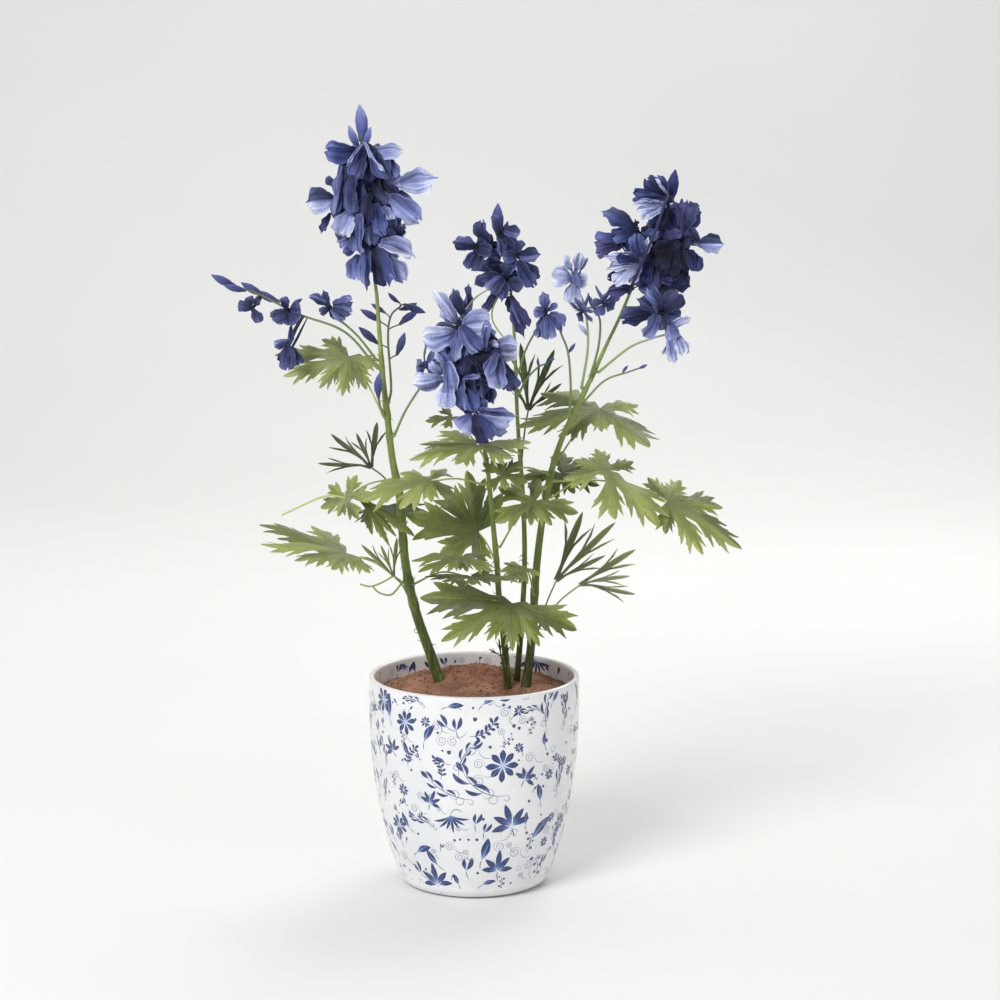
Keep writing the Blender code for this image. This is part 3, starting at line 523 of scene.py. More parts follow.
@dataclass(frozen=True)
class GlazeFinish:
    """White glaze with a clear coat, a little uneven in tone and surface."""

    name: str = "white_glaze"
    roughness: float = 0.24
    white: Colour = ink("e9e9ea")
    cool: Colour = ink("e0e1e4")

    def material(self) -> bpy.types.Material:
        """Makes the material."""
        wiring = Wiring(self.name, self.roughness)
        drift = wiring.ease(wiring.noise(0.035, 4.0), 0.35, 0.7)
        wiring.set("Base Color", wiring.mix(drift, self.white, self.cool))
        wiring.set("Roughness", wiring.ease(wiring.noise(0.01, 3.0), 0.3, 0.7, 0.19, 0.30))
        wiring.set("Coat Weight", 0.5)
        wiring.set("Coat Roughness", 0.08)
        wiring.bump(wiring.noise(0.006, 2.0), 0.00006)
        return wiring.material


@dataclass(frozen=True)
class PrintFinish:
    """Blue brushwork under the same glaze: the mesh's tint, with the uneven wash of a brush."""

    name: str = "blue_brushwork"
    roughness: float = 0.28
    wash: Colour = ink("5f86c0")

    def material(self) -> bpy.types.Material:
        """Makes the material."""
        wiring = Wiring(self.name, self.roughness)
        pool = wiring.ease(wiring.noise(0.0022, 4.0), 0.5, 0.75, 0.0, 0.2)
        wiring.set("Base Color", wiring.mix(pool, wiring.tint(), self.wash))
        wiring.set("Coat Weight", 0.5)
        wiring.set("Coat Roughness", 0.08)
        wiring.bump(wiring.noise(0.006, 2.0), 0.00006)
        return wiring.material


@dataclass(frozen=True)
class SoilFinish:
    """Dull reddish potting soil: light and dark grains, with damp patches."""

    name: str = "potting_soil"
    roughness: float = 0.95
    dark: Colour = ink("3a1f14")
    light: Colour = ink("c79f86")

    def material(self) -> bpy.types.Material:
        """Makes the material."""
        wiring = Wiring(self.name, self.roughness)
        grains = wiring.noise(0.0014, 6.0)
        damp = wiring.ease(wiring.noise(0.016, 3.0), 0.35, 0.68, 0.65, 1.1)
        earth = wiring.mix(1.0, wiring.tint(), damp, "MULTIPLY")
        earth = wiring.mix(wiring.ease(grains, 0.30, 0.46, 0.75, 0.0), earth, self.dark)
        earth = wiring.mix(wiring.ease(grains, 0.58, 0.74, 0.0, 0.6), earth, self.light)
        wiring.set("Base Color", earth)
        wiring.set("Specular IOR Level", 0.2)
        wiring.bump(grains, 0.0009)
        return wiring.material


@dataclass(frozen=True)
class FloorFinish:
    """Plain pale studio floor."""

    name: str = "studio_floor"
    roughness: float = 0.8
    pale: Colour = ink("efefed")

    def material(self) -> bpy.types.Material:
        """Makes the material."""
        wiring = Wiring(self.name, self.roughness)
        drift = wiring.ease(wiring.noise(0.4, 2.0), 0.3, 0.7, 0.985, 1.0)
        wiring.set("Base Color", wiring.mix(1.0, self.pale, drift, "MULTIPLY"))
        wiring.set("Specular IOR Level", 0.0)
        return wiring.material


@dataclass(frozen=True)
class Pot:
    """The glazed pot: flat foot, bellied wall and rounded lip. Sizes are in millimetres."""

    rim_radius: float = 75.0
    height: float = 151.0
    foot_radius: float = 43.0
    foot_round: float = 9.0
    waist_radius: float = 51.5
    belly_power: float = 2.6
    wall: float = 4.3
    floor: float = 7.0
    heel_inset: float = 4.0
    sides: int = 160
    steps: int = 28

    def radius(self, height: float) -> float:
        """The outer radius at a height."""
        share = min(max(height / self.height, 0.0), 1.0)
        belly = 1 - (1 - share) ** self.belly_power
        return self.waist_radius + (self.rim_radius - self.waist_radius) * belly

    def section(self) -> list[tuple[float, float]]:
        """The pot's section in metres, from the foot round to the inside floor."""
        heel = self.radius(self.foot_round)
        rounded = [math.radians(a) for a in range(0, 91, 10)]
        outline = [(self.foot_radius + (heel - self.foot_radius) * math.sin(a),
                    self.foot_round * (1 - math.cos(a))) for a in rounded]
        top = self.height - self.wall / 2
        rows = [self.foot_round + (top - self.foot_round) * k / self.steps for k in range(1, self.steps + 1)]
        outline += [(self.radius(z), z) for z in rows]
        middle = self.radius(top) - self.wall / 2
        for degrees in range(15, 181, 15):
            angle = math.radians(degrees)
            outline.append((middle + self.wall / 2 * math.cos(angle), top + self.wall / 2 * math.sin(angle)))
        outline += [(self.radius(z) - self.wall, z) for z in reversed(rows[:-1])]
        outline.append((heel - self.wall - self.heel_inset, self.floor))
        return [(radius * MM, height * MM) for radius, height in outline]

    def build(self) -> bpy.types.Object:
        """Makes the pot."""
        body = Body()
        body.lathe(self.section(), self.sides, GLAZE_TINT)
        return body.build("pot", GlazeFinish().material(), ["pot"], "pot_glaze")


GLAZE_TINT = ink("e9e9ea")
INK_DEEP = ink("14225e")
INK_MID = ink("2c4690")
INK_LIGHT = ink("5f86c4")
INK_PALE = ink("c5d2ee")
INK_SLATE = ink("2b3160")
INK_LINE = ink("7f86a8")
# The tones of a petal or leaf at its root and at its tip
DEEP = (INK_LIGHT, INK_DEEP)
SOFT = (INK_MID, INK_SLATE)
# The print's lowest height, and how far it rises above the lip's start outside and inside, in millimetres
PRINT_FOOT = 2.0
PRINT_TOP = 2.6
PRINT_TOP_INSIDE = 0.6
# How far from a motif's middle its petals start, as a share of its size
ROOT_GAP = 0.08
# How far round from the middle of the front the photo shows the wall
FRONT_TURN = 85


class Motif(Enum):
    """The small patterns that the print repeats, each with the method of Print that paints it."""

    DAISY = "daisy"
    FAN = "fan"
    BELL = "bell"
    SPRIG = "sprig"
    LEAF = "leaf"
    PAIR = "pair"
    SCROLL = "scroll"
    BERRIES = "berries"
    RING = "ring"
    DOT = "berry"
    VINE = "vine"


DAISY, FAN, BELL, SPRIG, LEAF, PAIR, SCROLL, BERRIES, RING, DOT, VINE = Motif


@dataclass(frozen=True)
class Placed:
    """A motif on the wall: its kind, the angle from the front towards the right, its height, size and turn.

    bend is how far a vine's stem turns from its root to its end.
    """

    motif: Motif
    angle: float
    height: float
    size: float
    turn: float = 0.0
    bend: float = 80.0


@dataclass(frozen=True)
class Seen:
    """A motif that the photo shows: its kind, the column and row of its pixel, and the rest as for Placed."""

    motif: Motif
    column: float
    row: float
    size: float
    turn: float = 0.0
    bend: float = 80.0


@dataclass
class Print:
    """The blue brushwork on the pot: thin patches that follow the wall. Sizes are in millimetres."""

    pot: Pot
    lift: float = 0.07
    line_width: float = 0.42
    seed: int = 11
    body: Body = field(default_factory=Body)
    taken: list[tuple[float, float, float]] = field(default_factory=list)

    def spot(self, placed: Placed, x: float, y: float) -> Vector:
        """The place on the wall of a point of a motif, whose own axes run right and up."""
        inner = placed.height > self.pot.height
        turn = math.radians(placed.turn)
        across = x * math.cos(turn) - y * math.sin(turn)
        up = x * math.sin(turn) + y * math.cos(turn)
        height = 2 * self.pot.height - placed.height + up if inner else placed.height + up
        top = self.pot.height - self.pot.wall
        height = min(max(height, PRINT_FOOT), top + (PRINT_TOP_INSIDE if inner else PRINT_TOP))
        radius = self.pot.radius(height) + (-self.pot.wall - self.lift if inner else self.lift)
        angle = math.radians(placed.angle) + across / self.pot.radius(placed.height)
        return Vector((radius * math.sin(angle), -radius * math.cos(angle), height)) * MM

    def ribbon(self, placed: Placed, line: Sequence[tuple[float, float]], width: Callable[[float], float],
               tint: Callable[[float], Colour]) -> None:
        """A band of brushwork along a line, split down its middle.

        Args:
            placed: the motif that it belongs to.
            line: its points, in the motif's own axes.
            width: its half width at a share of the line.
            tint: its colour at a share of the line.
        """
        last = len(line) - 1
        rows = []
        for k, (x, y) in enumerate(line):
            before, after = line[max(k - 1, 0)], line[min(k + 1, last)]
            dx, dy = after[0] - before[0], after[1] - before[1]
            length = math.hypot(dx, dy) or 1.0
            share = k / last
            half = max(width(share), 0.02)
            row = []
            for side in (-1, 0, 1):
                point = self.spot(placed, x - dy / length * half * side, y + dx / length * half * side)
                colour = tint(share)
                row.append(self.body.corner(point, blend(colour, INK_LIGHT, 0.15) if side == 0 else colour))
            rows.append(row)
        for low, high in zip(rows, rows[1:]):
            for k in range(2):
                ring = (low[k], low[k + 1], high[k + 1], high[k])
                inner = placed.height > self.pot.height
                self.body.faces.append(ring if inner else ring[::-1])

    def petal(self, placed: Placed, root: tuple[float, float], heading: float, length: float, half: float,
              tones: tuple[Colour, Colour], bend: float = 0.0, widest: float = 0.6) -> None:
        """A petal or leaf of brushwork along a heading, in one tone at its root and one at its tip."""
        steps = 9
        line = []
        for k in range(steps + 1):
            share = k / steps
            angle = math.radians(heading + bend * (share - 0.3))
            reach = length * share
            line.append((root[0] + reach * math.cos(angle), root[1] + reach * math.sin(angle)))

        def width(share: float) -> float:
            rising = math.sin(math.pi / 2 * min(share / widest, 1.0)) ** 1.3
            falling = math.cos(math.pi / 2 * max((share - widest) / (1 - widest), 0.0)) ** 0.8
            return half * rising * falling

        self.ribbon(placed, line, width, lambda share: blend(tones[0], tones[1], smooth(0.0, 0.5, share)))

    def stroke(self, placed: Placed, line: Sequence[tuple[float, float]], weight: float = 1.0,
               tone: Colour = INK_LINE) -> None:
        """A thin line of brushwork that tapers to both ends."""
        half = self.line_width / 2 * weight

        def width(share: float) -> float:
            return half * (0.35 + 0.65 * math.sin(math.pi * share))

        self.ribbon(placed, line, width, lambda _: tone)

    def dot(self, placed: Placed, x: float, y: float, radius: float, tone: Colour = INK_SLATE) -> None:
        """A berry of brushwork."""
        count = 10
        centre = self.body.corner(self.spot(placed, x, y), blend(tone, INK_LIGHT, 0.35))
        ring = []
        for n in range(count):
            angle = 2 * math.pi * n / count
            reach = radius * (1 + 0.08 * math.sin(3 * angle + x))
            point = self.spot(placed, x + reach * math.cos(angle), y + reach * math.sin(angle))
            ring.append(self.body.corner(point, tone))
        inner = placed.height > self.pot.height
        for n in range(count):
            a, b = ring[n], ring[(n + 1) % count]
            self.body.faces.append((centre, b, a) if inner else (centre, a, b))

    def arc(self, start: tuple[float, float], heading: float, length: float, bend: float,
            steps: int = 12) -> list[tuple[float, float]]:
        """The points of a line that starts on a heading and turns evenly by bend degrees."""
        line = [start]
        for k in range(steps):
            angle = math.radians(heading + bend * k / steps)
            x, y = line[-1]
            line.append((x + length / steps * math.cos(angle), y + length / steps * math.sin(angle)))
        return line

    def daisy(self, placed: Placed, draw: random.Random) -> None:
        """Eight petals round a light middle."""
        size = placed.size
        for k in range(8):
            heading = 45 * k + draw.uniform(-4, 4)
            foot = math.radians(heading)
            root = (ROOT_GAP * size * math.cos(foot), ROOT_GAP * size * math.sin(foot))
            self.petal(placed, root, heading, size * draw.uniform(0.84, 1.0), 0.19 * size, DEEP, 0, 0.66)
        self.dot(placed, 0, 0, 0.13 * size, INK_PALE)

    def fan(self, placed: Placed, draw: random.Random) -> None:
        """Leaves spread from one point."""
        size = placed.size
        for k in range(5):
            heading = 90 + (k - 2) * 36 + draw.uniform(-5, 5)
            length = size * (1.0 - 0.14 * abs(k - 2)) * draw.uniform(0.85, 1.05)
            foot = math.radians(heading)
            root = (ROOT_GAP * size * math.cos(foot), ROOT_GAP * size * math.sin(foot))
            self.petal(placed, root, heading, length, 0.125 * size, DEEP, 9 * (k - 2), 0.5)
            self.stroke(placed, self.arc(root, heading + 16, 0.6 * length, 30), 1.0, INK_SLATE)
        self.stroke(placed, self.arc((0, 0), -90, 0.45 * size, 20), 1.6, INK_SLATE)

    def bell(self, placed: Placed, draw: random.Random) -> None:
        """Long petals hanging from a bent stem."""
        size = placed.size
        for k in range(7):
            heading = -90 + (k - 3) * 19
            length = size * draw.uniform(0.85, 1.1)
            self.petal(placed, (0, 0), heading, length, 0.075 * size, DEEP, (k - 3) * 8, 0.6)
        self.stroke(placed, self.arc((0, 0), 80, 0.9 * size, -150), 1.2, INK_SLATE)

    def sprig(self, placed: Placed, draw: random.Random) -> None:
        """A bent stem with leaves in pairs."""
        size = placed.size
        stem = self.arc((0, 0), 90, size, draw.choice((-70, 70)), 16)
        self.stroke(placed, stem, 1.5, INK_SLATE)
        for k in range(3, 16, 3):
            ahead = self.heading(stem, k)
            for side in (-1, 1):
                length = size * draw.uniform(0.2, 0.3)
                self.petal(placed, stem[k], ahead + side * 42, length, 0.055 * size, SOFT, side * 18)
        self.petal(placed, stem[-1], ahead, 0.3 * size, 0.06 * size, DEEP)

    def vine(self, placed: Placed, draw: random.Random) -> None:
        """A long bent stem with leaves along its outer half, and tendrils."""
        size = placed.size
        stem = self.arc((0, 0), 90, size, placed.bend, 20)
        self.stroke(placed, stem, 1.3, INK_SLATE)
        for k in range(6, 21, 3):
            ahead = self.heading(stem, k)
            side = 1 if k % 2 else -1
            length = size * draw.uniform(0.26, 0.42)
            self.petal(placed, stem[k], ahead + side * 44, length, 0.115 * length, DEEP, -side * 40)
        self.petal(placed, stem[-1], ahead, 0.26 * size, 0.05 * size, DEEP)
        self.stroke(placed, self.arc(stem[9], ahead - 60, 0.6 * size, -340, 20))
        self.stroke(placed, self.arc(stem[5], ahead + 70, 0.5 * size, 330, 20))
        self.stroke(placed, self.arc((0, 0), -70, 0.3 * size, -300, 14))

    def leaf(self, placed: Placed, draw: random.Random) -> None:
        """One leaf with a light rib."""
        size = placed.size
        self.petal(placed, (0, 0), 90, size, 0.17 * size, DEEP, draw.uniform(-20, 20), 0.5)
        self.petal(placed, (0, 0), 90, 0.8 * size, 0.03 * size, (INK_PALE, INK_LIGHT), 0, 0.5)
        self.stroke(placed, self.arc((0, 0), -90, 0.4 * size, 30), 1.2, INK_SLATE)

    def pair(self, placed: Placed, _: random.Random) -> None:
        """Two leaves on one point."""
        size = placed.size
        self.petal(placed, (0, 0), 62, size, 0.15 * size, SOFT, 26, 0.55)
        self.petal(placed, (0, 0), 122, 0.85 * size, 0.13 * size, DEEP, -22, 0.55)
        self.stroke(placed, self.arc((0, 0), -80, 0.7 * size, 40), 1.2, INK_SLATE)

    def scroll(self, placed: Placed, _: random.Random) -> None:
        """A thin spiral."""
        size = placed.size
        line = []
        for k in range(34):
            angle = math.radians(21 * k)
            reach = size * 0.5 * (1 - k / 38)
            line.append((reach * math.cos(angle), reach * math.sin(angle)))
        self.stroke(placed, line)
        self.stroke(placed, self.arc(line[0], -80, 1.3 * size, 110))

    def berries(self, placed: Placed, draw: random.Random) -> None:
        """Berries along a bent twig."""
        size = placed.size
        twig = self.arc((0, 0), 60, size, 60, 12)
        self.stroke(placed, twig, 1.2, INK_SLATE)
        for k in range(2, 13, 2):
            x, y = twig[k]
            side = 1 if k % 4 else -1
            self.dot(placed, x + side * 0.12 * size, y + 0.05 * size, size * draw.uniform(0.045, 0.075))

    def ring(self, placed: Placed, _: random.Random) -> None:
        """A ring of dots."""
        size = placed.size
        for k in range(7):
            angle = math.radians(360 / 7 * k)
            self.dot(placed, 0.5 * size * math.cos(angle), 0.5 * size * math.sin(angle), 0.09 * size)

    def berry(self, placed: Placed, draw: random.Random) -> None:
        """One berry."""
        self.dot(placed, 0, 0, placed.size, draw.choice((INK_SLATE, INK_DEEP, INK_MID)))

    def heading(self, line: Sequence[tuple[float, float]], k: int) -> float:
        """A line's heading in degrees just before its point k."""
        (x, y), (last_x, last_y) = line[k], line[k - 1]
        return math.degrees(math.atan2(y - last_y, x - last_x))

    def draw(self, placed: Placed, draw: random.Random) -> None:
        """Paints one motif with the method that its kind names, and notes the place it takes."""
        getattr(self, placed.motif.value)(placed, draw)
        self.taken.append((placed.angle, placed.height, placed.size))

    def front(self) -> list[Placed]:
        """The motifs that the photo shows, each at the nearest of a grid of spots on the wall."""
        spots = []
        for angle in range(-FRONT_TURN, FRONT_TURN + 1):
            turn = math.radians(angle)
            for height in range(2, int(self.pot.height), 2):
                radius = self.pot.radius(height)
                column, row = PHOTO.pixel(radius * math.sin(turn), -radius * math.cos(turn), height)
                spots.append((column, row, angle, height))
        placed = []
        for seen in FRONT_MOTIFS:
            spot = min(spots, key=lambda spot: (spot[0] - seen.column) ** 2 + (spot[1] - seen.row) ** 2)
            placed.append(Placed(seen.motif, spot[2], spot[3], seen.size, seen.turn, seen.bend))
        return placed

    def free(self, angle: float, height: float, size: float) -> bool:
        """Whether a motif of a size fits here, clear of those already painted."""
        radius = self.pot.radius(height)
        for other_angle, other_height, other_size in self.taken:
            turn = (angle - other_angle + 180) % 360 - 180
            gap = math.hypot(math.radians(turn) * radius, height - other_height)
            if gap < 0.5 * (size + other_size):
                return False
        return True

    def build(self) -> bpy.types.Object:
        """Paints the motifs that the photo shows, then fills the rest of both sides of the wall."""
        draw = random.Random(self.seed)
        for placed in (*self.front(), *INNER_MOTIFS):
            self.draw(placed, draw)
        for motif, small, large, count in FILLERS:
            for _ in range(count * TRIES):
                if count == 0:
                    break
                size = draw.uniform(small, large)
                angle = draw.uniform(-180, 180)
                height = draw.uniform(6, self.pot.height - self.pot.wall - 0.5 * size)
                if self.free(angle, height, size):
                    self.draw(Placed(motif, angle, height, size, draw.uniform(-50, 50)), draw)
                    count -= 1
        for k in range(INNER_FILLERS):
            motif = (PAIR, BELL, SCROLL, LEAF, DOT, FAN)[k % 6]
            size = 1.0 if motif is DOT else draw.uniform(5.0, 7.5)
            angle = 360 // INNER_FILLERS * k + draw.uniform(-3, 3)
            height = self.pot.height + (3.5 if motif is BELL else 7.0)
            turn = draw.uniform(-30, 30)
            if self.free(angle, height, size):
                self.draw(Placed(motif, angle, height, size, turn), draw)
        return self.body.build("pot_print", PrintFinish().material(), [], "pot_glaze")


FRONT_MOTIFS = (
    Seen(DAISY, 503, 766, 11.6), Seen(DAISY, 405, 723, 8.8, 10), Seen(DAISY, 404, 789, 4.6),
    Seen(DAISY, 400, 824.5, 7.8, 12), Seen(DAISY, 559, 821, 7.6), Seen(BELL, 450, 816, 12.5, 6),
    Seen(FAN, 497, 872, 16), Seen(FAN, 438, 884, 16, 6), Seen(FAN, 524, 780, 11.5, -36),
    Seen(FAN, 512, 826, 19, 14), Seen(LEAF, 531, 840, 21, -40), Seen(LEAF, 418, 851, 14, -56),
    Seen(LEAF, 481, 861, 17.5, -20), Seen(LEAF, 390, 718, 16, 10), Seen(LEAF, 447, 708, 12, -75),
    Seen(LEAF, 483, 706, 12, -50), Seen(PAIR, 456, 729, 10, -8), Seen(PAIR, 446, 727, 10, 40),
    Seen(VINE, 505, 797, 36, 92, -70), Seen(VINE, 470, 799, 32, 84, -40), Seen(VINE, 459, 776, 24, -2, -50),
    Seen(VINE, 424, 705, 15, 60, 40), Seen(LEAF, 424, 742, 15, -20), Seen(LEAF, 409, 757, 11, 35),
    Seen(LEAF, 446, 762, 9, 60), Seen(VINE, 547, 728, 24, 20, -50), Seen(VINE, 563, 726, 20, -14, 40),
    Seen(VINE, 556, 793, 22, 10, -40), Seen(VINE, 541, 711, 14, 60, 50), Seen(BERRIES, 500, 748, 12, -50),
    Seen(BERRIES, 527, 735, 12, -20), Seen(BERRIES, 534, 880, 20, 20), Seen(SCROLL, 436, 727, 7),
    Seen(SCROLL, 452, 741, 8, 60), Seen(SCROLL, 479, 763, 8), Seen(SCROLL, 505, 712, 8, -30),
    Seen(SCROLL, 526, 696, 7, 30), Seen(SCROLL, 515, 852, 9), Seen(SCROLL, 420, 795, 6, 40),
    Seen(SCROLL, 545, 768, 6, 10), Seen(SCROLL, 459, 858, 7, 20), Seen(RING, 410, 701, 4.6),
    Seen(RING, 514, 832, 4.6), Seen(RING, 421, 882, 4), Seen(DOT, 476, 720, 1.5), Seen(DOT, 474, 708, 0.9),
    Seen(DOT, 497, 726, 1), Seen(DOT, 514, 725, 1.4), Seen(DOT, 519, 729, 1.2), Seen(DOT, 475, 746, 1.2),
    Seen(DOT, 490, 747, 1.2), Seen(DOT, 449, 752, 1.5), Seen(DOT, 547, 753, 1.2), Seen(DOT, 547, 741, 1.2),
    Seen(DOT, 402, 760, 0.9), Seen(DOT, 411, 769, 0.9), Seen(DOT, 476, 839, 1.1), Seen(DOT, 461, 839, 0.9),
    Seen(DOT, 550, 847, 1.2), Seen(DOT, 468, 841, 0.9), Seen(LEAF, 525, 826, 10, 5),
    Seen(PAIR, 475, 825, 9, -20), Seen(PAIR, 466, 870, 11, -12), Seen(PAIR, 420, 873, 9, 20),
    Seen(LEAF, 482, 884, 10, -60), Seen(LEAF, 560, 838, 13, -28), Seen(VINE, 387, 762, 16, 5, 30),
    Seen(VINE, 386, 800, 14, 0, -30), Seen(SPRIG, 470, 737, 20, -95), Seen(SPRIG, 408, 767, 16, 10),
    Seen(SPRIG, 440, 779, 15, -20), Seen(SCROLL, 472, 750, 10), Seen(SCROLL, 478, 781, 9, 50),
    Seen(SCROLL, 441, 742, 8, 120), Seen(SCROLL, 530, 758, 8), Seen(SCROLL, 500, 847, 9, 80),
    Seen(SCROLL, 528, 864, 9, -40), Seen(SCROLL, 449, 846, 7), Seen(SCROLL, 414, 808, 7, 10),
    Seen(SCROLL, 396, 774, 6), Seen(LEAF, 398, 852, 9, 40), Seen(LEAF, 458, 884, 9, 15),
    Seen(PAIR, 541, 862, 8, -15), Seen(BERRIES, 526, 852, 16, 5), Seen(BERRIES, 402, 746, 10),
    Seen(LEAF, 552, 702, 10, -35), Seen(LEAF, 545, 747, 10, 15), Seen(LEAF, 574, 737, 10, 10),
    Seen(LEAF, 430, 694, 10, 70), Seen(SPRIG, 562, 768, 14, 10), Seen(LEAF, 540, 800, 14, 8),
    Seen(LEAF, 512, 698, 9, 100), Seen(SCROLL, 490, 702, 6), Seen(VINE, 436, 826, 18, 60, 30),
)
# The motifs on the inside of the rim
INNER_MOTIFS = (
    Placed(BELL, 140, 151.5, 13, 6), Placed(LEAF, 218, 163, 10, -20), Placed(LEAF, 223, 163, 9.5, 25),
    Placed(LEAF, 208, 162, 8, -35), Placed(PAIR, 232, 160, 9, 10), Placed(SCROLL, 172, 158, 6),
    Placed(SCROLL, 188, 157, 5, 40), Placed(PAIR, 198, 160, 8, -20), Placed(DOT, 160, 155, 1.6),
    Placed(DOT, 164, 159, 1.1), Placed(LEAF, 122, 161, 10, 30), Placed(LEAF, 152, 161, 8, 40),
)

# The motifs that fill the rest of the outer wall, as (kind, least size, greatest size, count)
FILLERS = (
    (DAISY, 7.5, 10.5, 9), (FAN, 8, 12, 12), (BELL, 8, 10, 7), (SPRIG, 12, 17, 12), (VINE, 14, 20, 16),
    (LEAF, 9, 14, 24), (PAIR, 7, 10, 30), (SCROLL, 5, 8, 30), (BERRIES, 8, 12, 24), (RING, 3, 4.5, 16),
    (DAISY, 3.5, 4.5, 16), (PAIR, 4, 5.5, 40), (SCROLL, 3.5, 5, 40), (LEAF, 4, 5.5, 40), (DOT, 0.7, 1.2, 110),
)
# How often a free place is looked for, for each motif of a kind
TRIES = 5
INNER_FILLERS = 30


@dataclass(frozen=True)
class Soil:
    """The soil in the pot: a grainy surface with a heap towards the back, and crumbs on it.

    Sizes are in millimetres.
    """

    pot: Pot
    level: float = 137.5
    mound_height: float = 10.0
    mound_back: float = 36.0
    mound_spread: float = 24.0
    clearance: float = 0.3
    rings: int = 46
    sides: int = 150
    crumbs: int = 620
    seed: int = 5
    brown: Colour = ink("b0866f")
    shade: Colour = ink("84533f")

    def heap(self, x: float, y: float) -> float:
        """The share of the heap's height at a place."""
        return math.exp(-(x * x + (y - self.mound_back) ** 2) / (2 * self.mound_spread ** 2))

    def height(self, x: float, y: float) -> float:
        """The surface's height at a place."""
        heap = self.mound_height * self.heap(x, y)
        ripple = 0.9 * math.sin(x * 0.16 + 1.0) * math.cos(y * 0.13)
        clods = 1.0 * noise.noise(Vector((x, y, 0)) * 0.16) + 0.7 * noise.noise(Vector((x, y, 9)) * 0.45)
        grains = 0.4 * noise.noise(Vector((x, y, 4)) * 1.3)
        return self.level + heap + ripple + clods + grains

    def tint(self, x: float, y: float) -> Colour:
        """The soil's colour at a place: darker and redder on the heap."""
        share = 0.5 + 0.5 * noise.noise(Vector((x, y, 2)) * 0.1)
        return blend(self.brown, self.shade, min(1.0, 0.6 * share + 0.5 * self.heap(x, y)))

    def crumb(self, body: Body, draw: random.Random) -> None:
        """One crumb, half sunk in the surface."""
        reach = (self.pot.radius(self.level) - self.pot.wall - 2) * math.sqrt(draw.random())
        turn = draw.uniform(0, 2 * math.pi)
        x, y = reach * math.cos(turn), reach * math.sin(turn)
        size = draw.uniform(0.25, 0.9) if draw.random() < 0.9 else draw.uniform(0.9, 1.7)
        centre = Vector((x, y, self.height(x, y) + 0.25 * size))
        shade = draw.uniform(0.55, 1.5)
        tint = tuple(c * shade for c in self.tint(x, y))
        rows = []
        for lift in (-0.75, 0.0, 0.7):
            flat = math.sqrt(1 - lift * lift)
            row = []
            for n in range(6):
                angle = math.pi / 3 * n
                out = Vector((math.cos(angle) * flat, math.sin(angle) * flat, lift))
                row.append(body.corner((centre + out * size * draw.uniform(0.7, 1.25)) * MM, tint))
            rows.append(row)
        body.skin(rows)

    def build(self) -> bpy.types.Object:
        """Makes the soil."""
        body = Body()
        draw = random.Random(self.seed)
        edge = self.pot.radius(self.level) - self.pot.wall - 0.5 * self.clearance
        rows = []
        step = (self.level - 3 - self.pot.floor) / 6
        below = [self.pot.floor + self.clearance + k * step for k in range(7)]
        for z in below:
            radius = self.pot.radius(z) - self.pot.wall - 0.6
            if z == below[0]:
                radius = self.pot.radius(self.pot.foot_round) - self.pot.wall - self.pot.heel_inset - 0.5
            rows.append([(radius, z)] * self.sides)
        for k in range(self.rings):
            rows.append([(edge * (1 - k / self.rings), None)] * self.sides)
        rings = []
        for row in rows:
            ring = []
            for n, (radius, z) in enumerate(row):
                angle = 2 * math.pi * n / self.sides
                x, y = radius * math.cos(angle), radius * math.sin(angle)
                point = Vector((x, y, self.height(x, y) if z is None else z)) * MM
                ring.append(body.corner(point, self.tint(x, y)))
            rings.append(ring)
        body.skin(rings)
        for _ in range(self.crumbs):
            self.crumb(body, draw)
        return body.build("soil", SoilFinish().material(), ["soil"], "soil")


@dataclass(frozen=True)
class Stem:
    """A stem's line from the soil up, and its radius at the soil and at its top."""

    line: tuple[Triple, ...]
    thick: float
    thin: float


@dataclass(frozen=True)
class Leaf:
    """A leaf: its kind of lobe, where its stalk joins a stem, its hub, and how its face lies.

    lean_front and lean_right tilt its face from straight up. Each lobe is (heading, length): 0 heads right
    and 90 heads back or, on a leaf that faces the front, up. droop is a tip's fall as a share of its lobe.
    """

    kind: str
    stem: str
    joins: float
    hub: Triple
    lean_front: float
    lean_right: float
    droop: float
    lobes: tuple[tuple[float, float], ...]


@dataclass(frozen=True)
class Spray:
    """A flower spray: the stem it ends (joins is None) or leaves, its line, its flowers and its buds.

    A flower is (centre, width, turn, nod, roll): the way it faces, 0 being the front and 90 the right, its
    face's rise above level, and its petals' turn about its middle. A bud is (root, tip). earlier is how many
    of the solid's flowers come before these. The photo shows their petals, so PETALS gives each of them.
    """

    stem: str
    joins: float | None
    line: tuple[Triple, ...]
    thick: float
    thin: float
    flowers: tuple = ()
    buds: tuple = ()
    earlier: int = 0


STEMS = {
    "stem_left": Stem(
        ((-25, 18, 141), (-30, 18, 157), (-42, 14, 194), (-49, 8, 232), (-52, 2, 276), (-57, -2, 305),
         (-60, -4, 333), (-63, -6, 362), (-65, -8, 390), (-67, -8, 422)), 4.0, 1.2),
    "stem_middle": Stem(
        ((24, 6, 139), (22, 2, 168), (18, -8, 206), (16, -16, 236), (12, -26, 280), (10, -32, 302),
         (7, -37, 322)), 2.6, 1.2),
    "stem_back": Stem(
        ((30, 19, 137), (33, 21, 171), (36, 26, 221), (35, 34, 271), (31, 43, 327), (29, 50, 382)), 2.4, 1.1),
    "stem_right": Stem(
        ((37, 8, 139), (41, 10, 173), (45, 12, 231), (52, 14, 281), (62, 14, 317), (80, 14, 355),
         (95, 14, 388)), 3.4, 1.2),
}

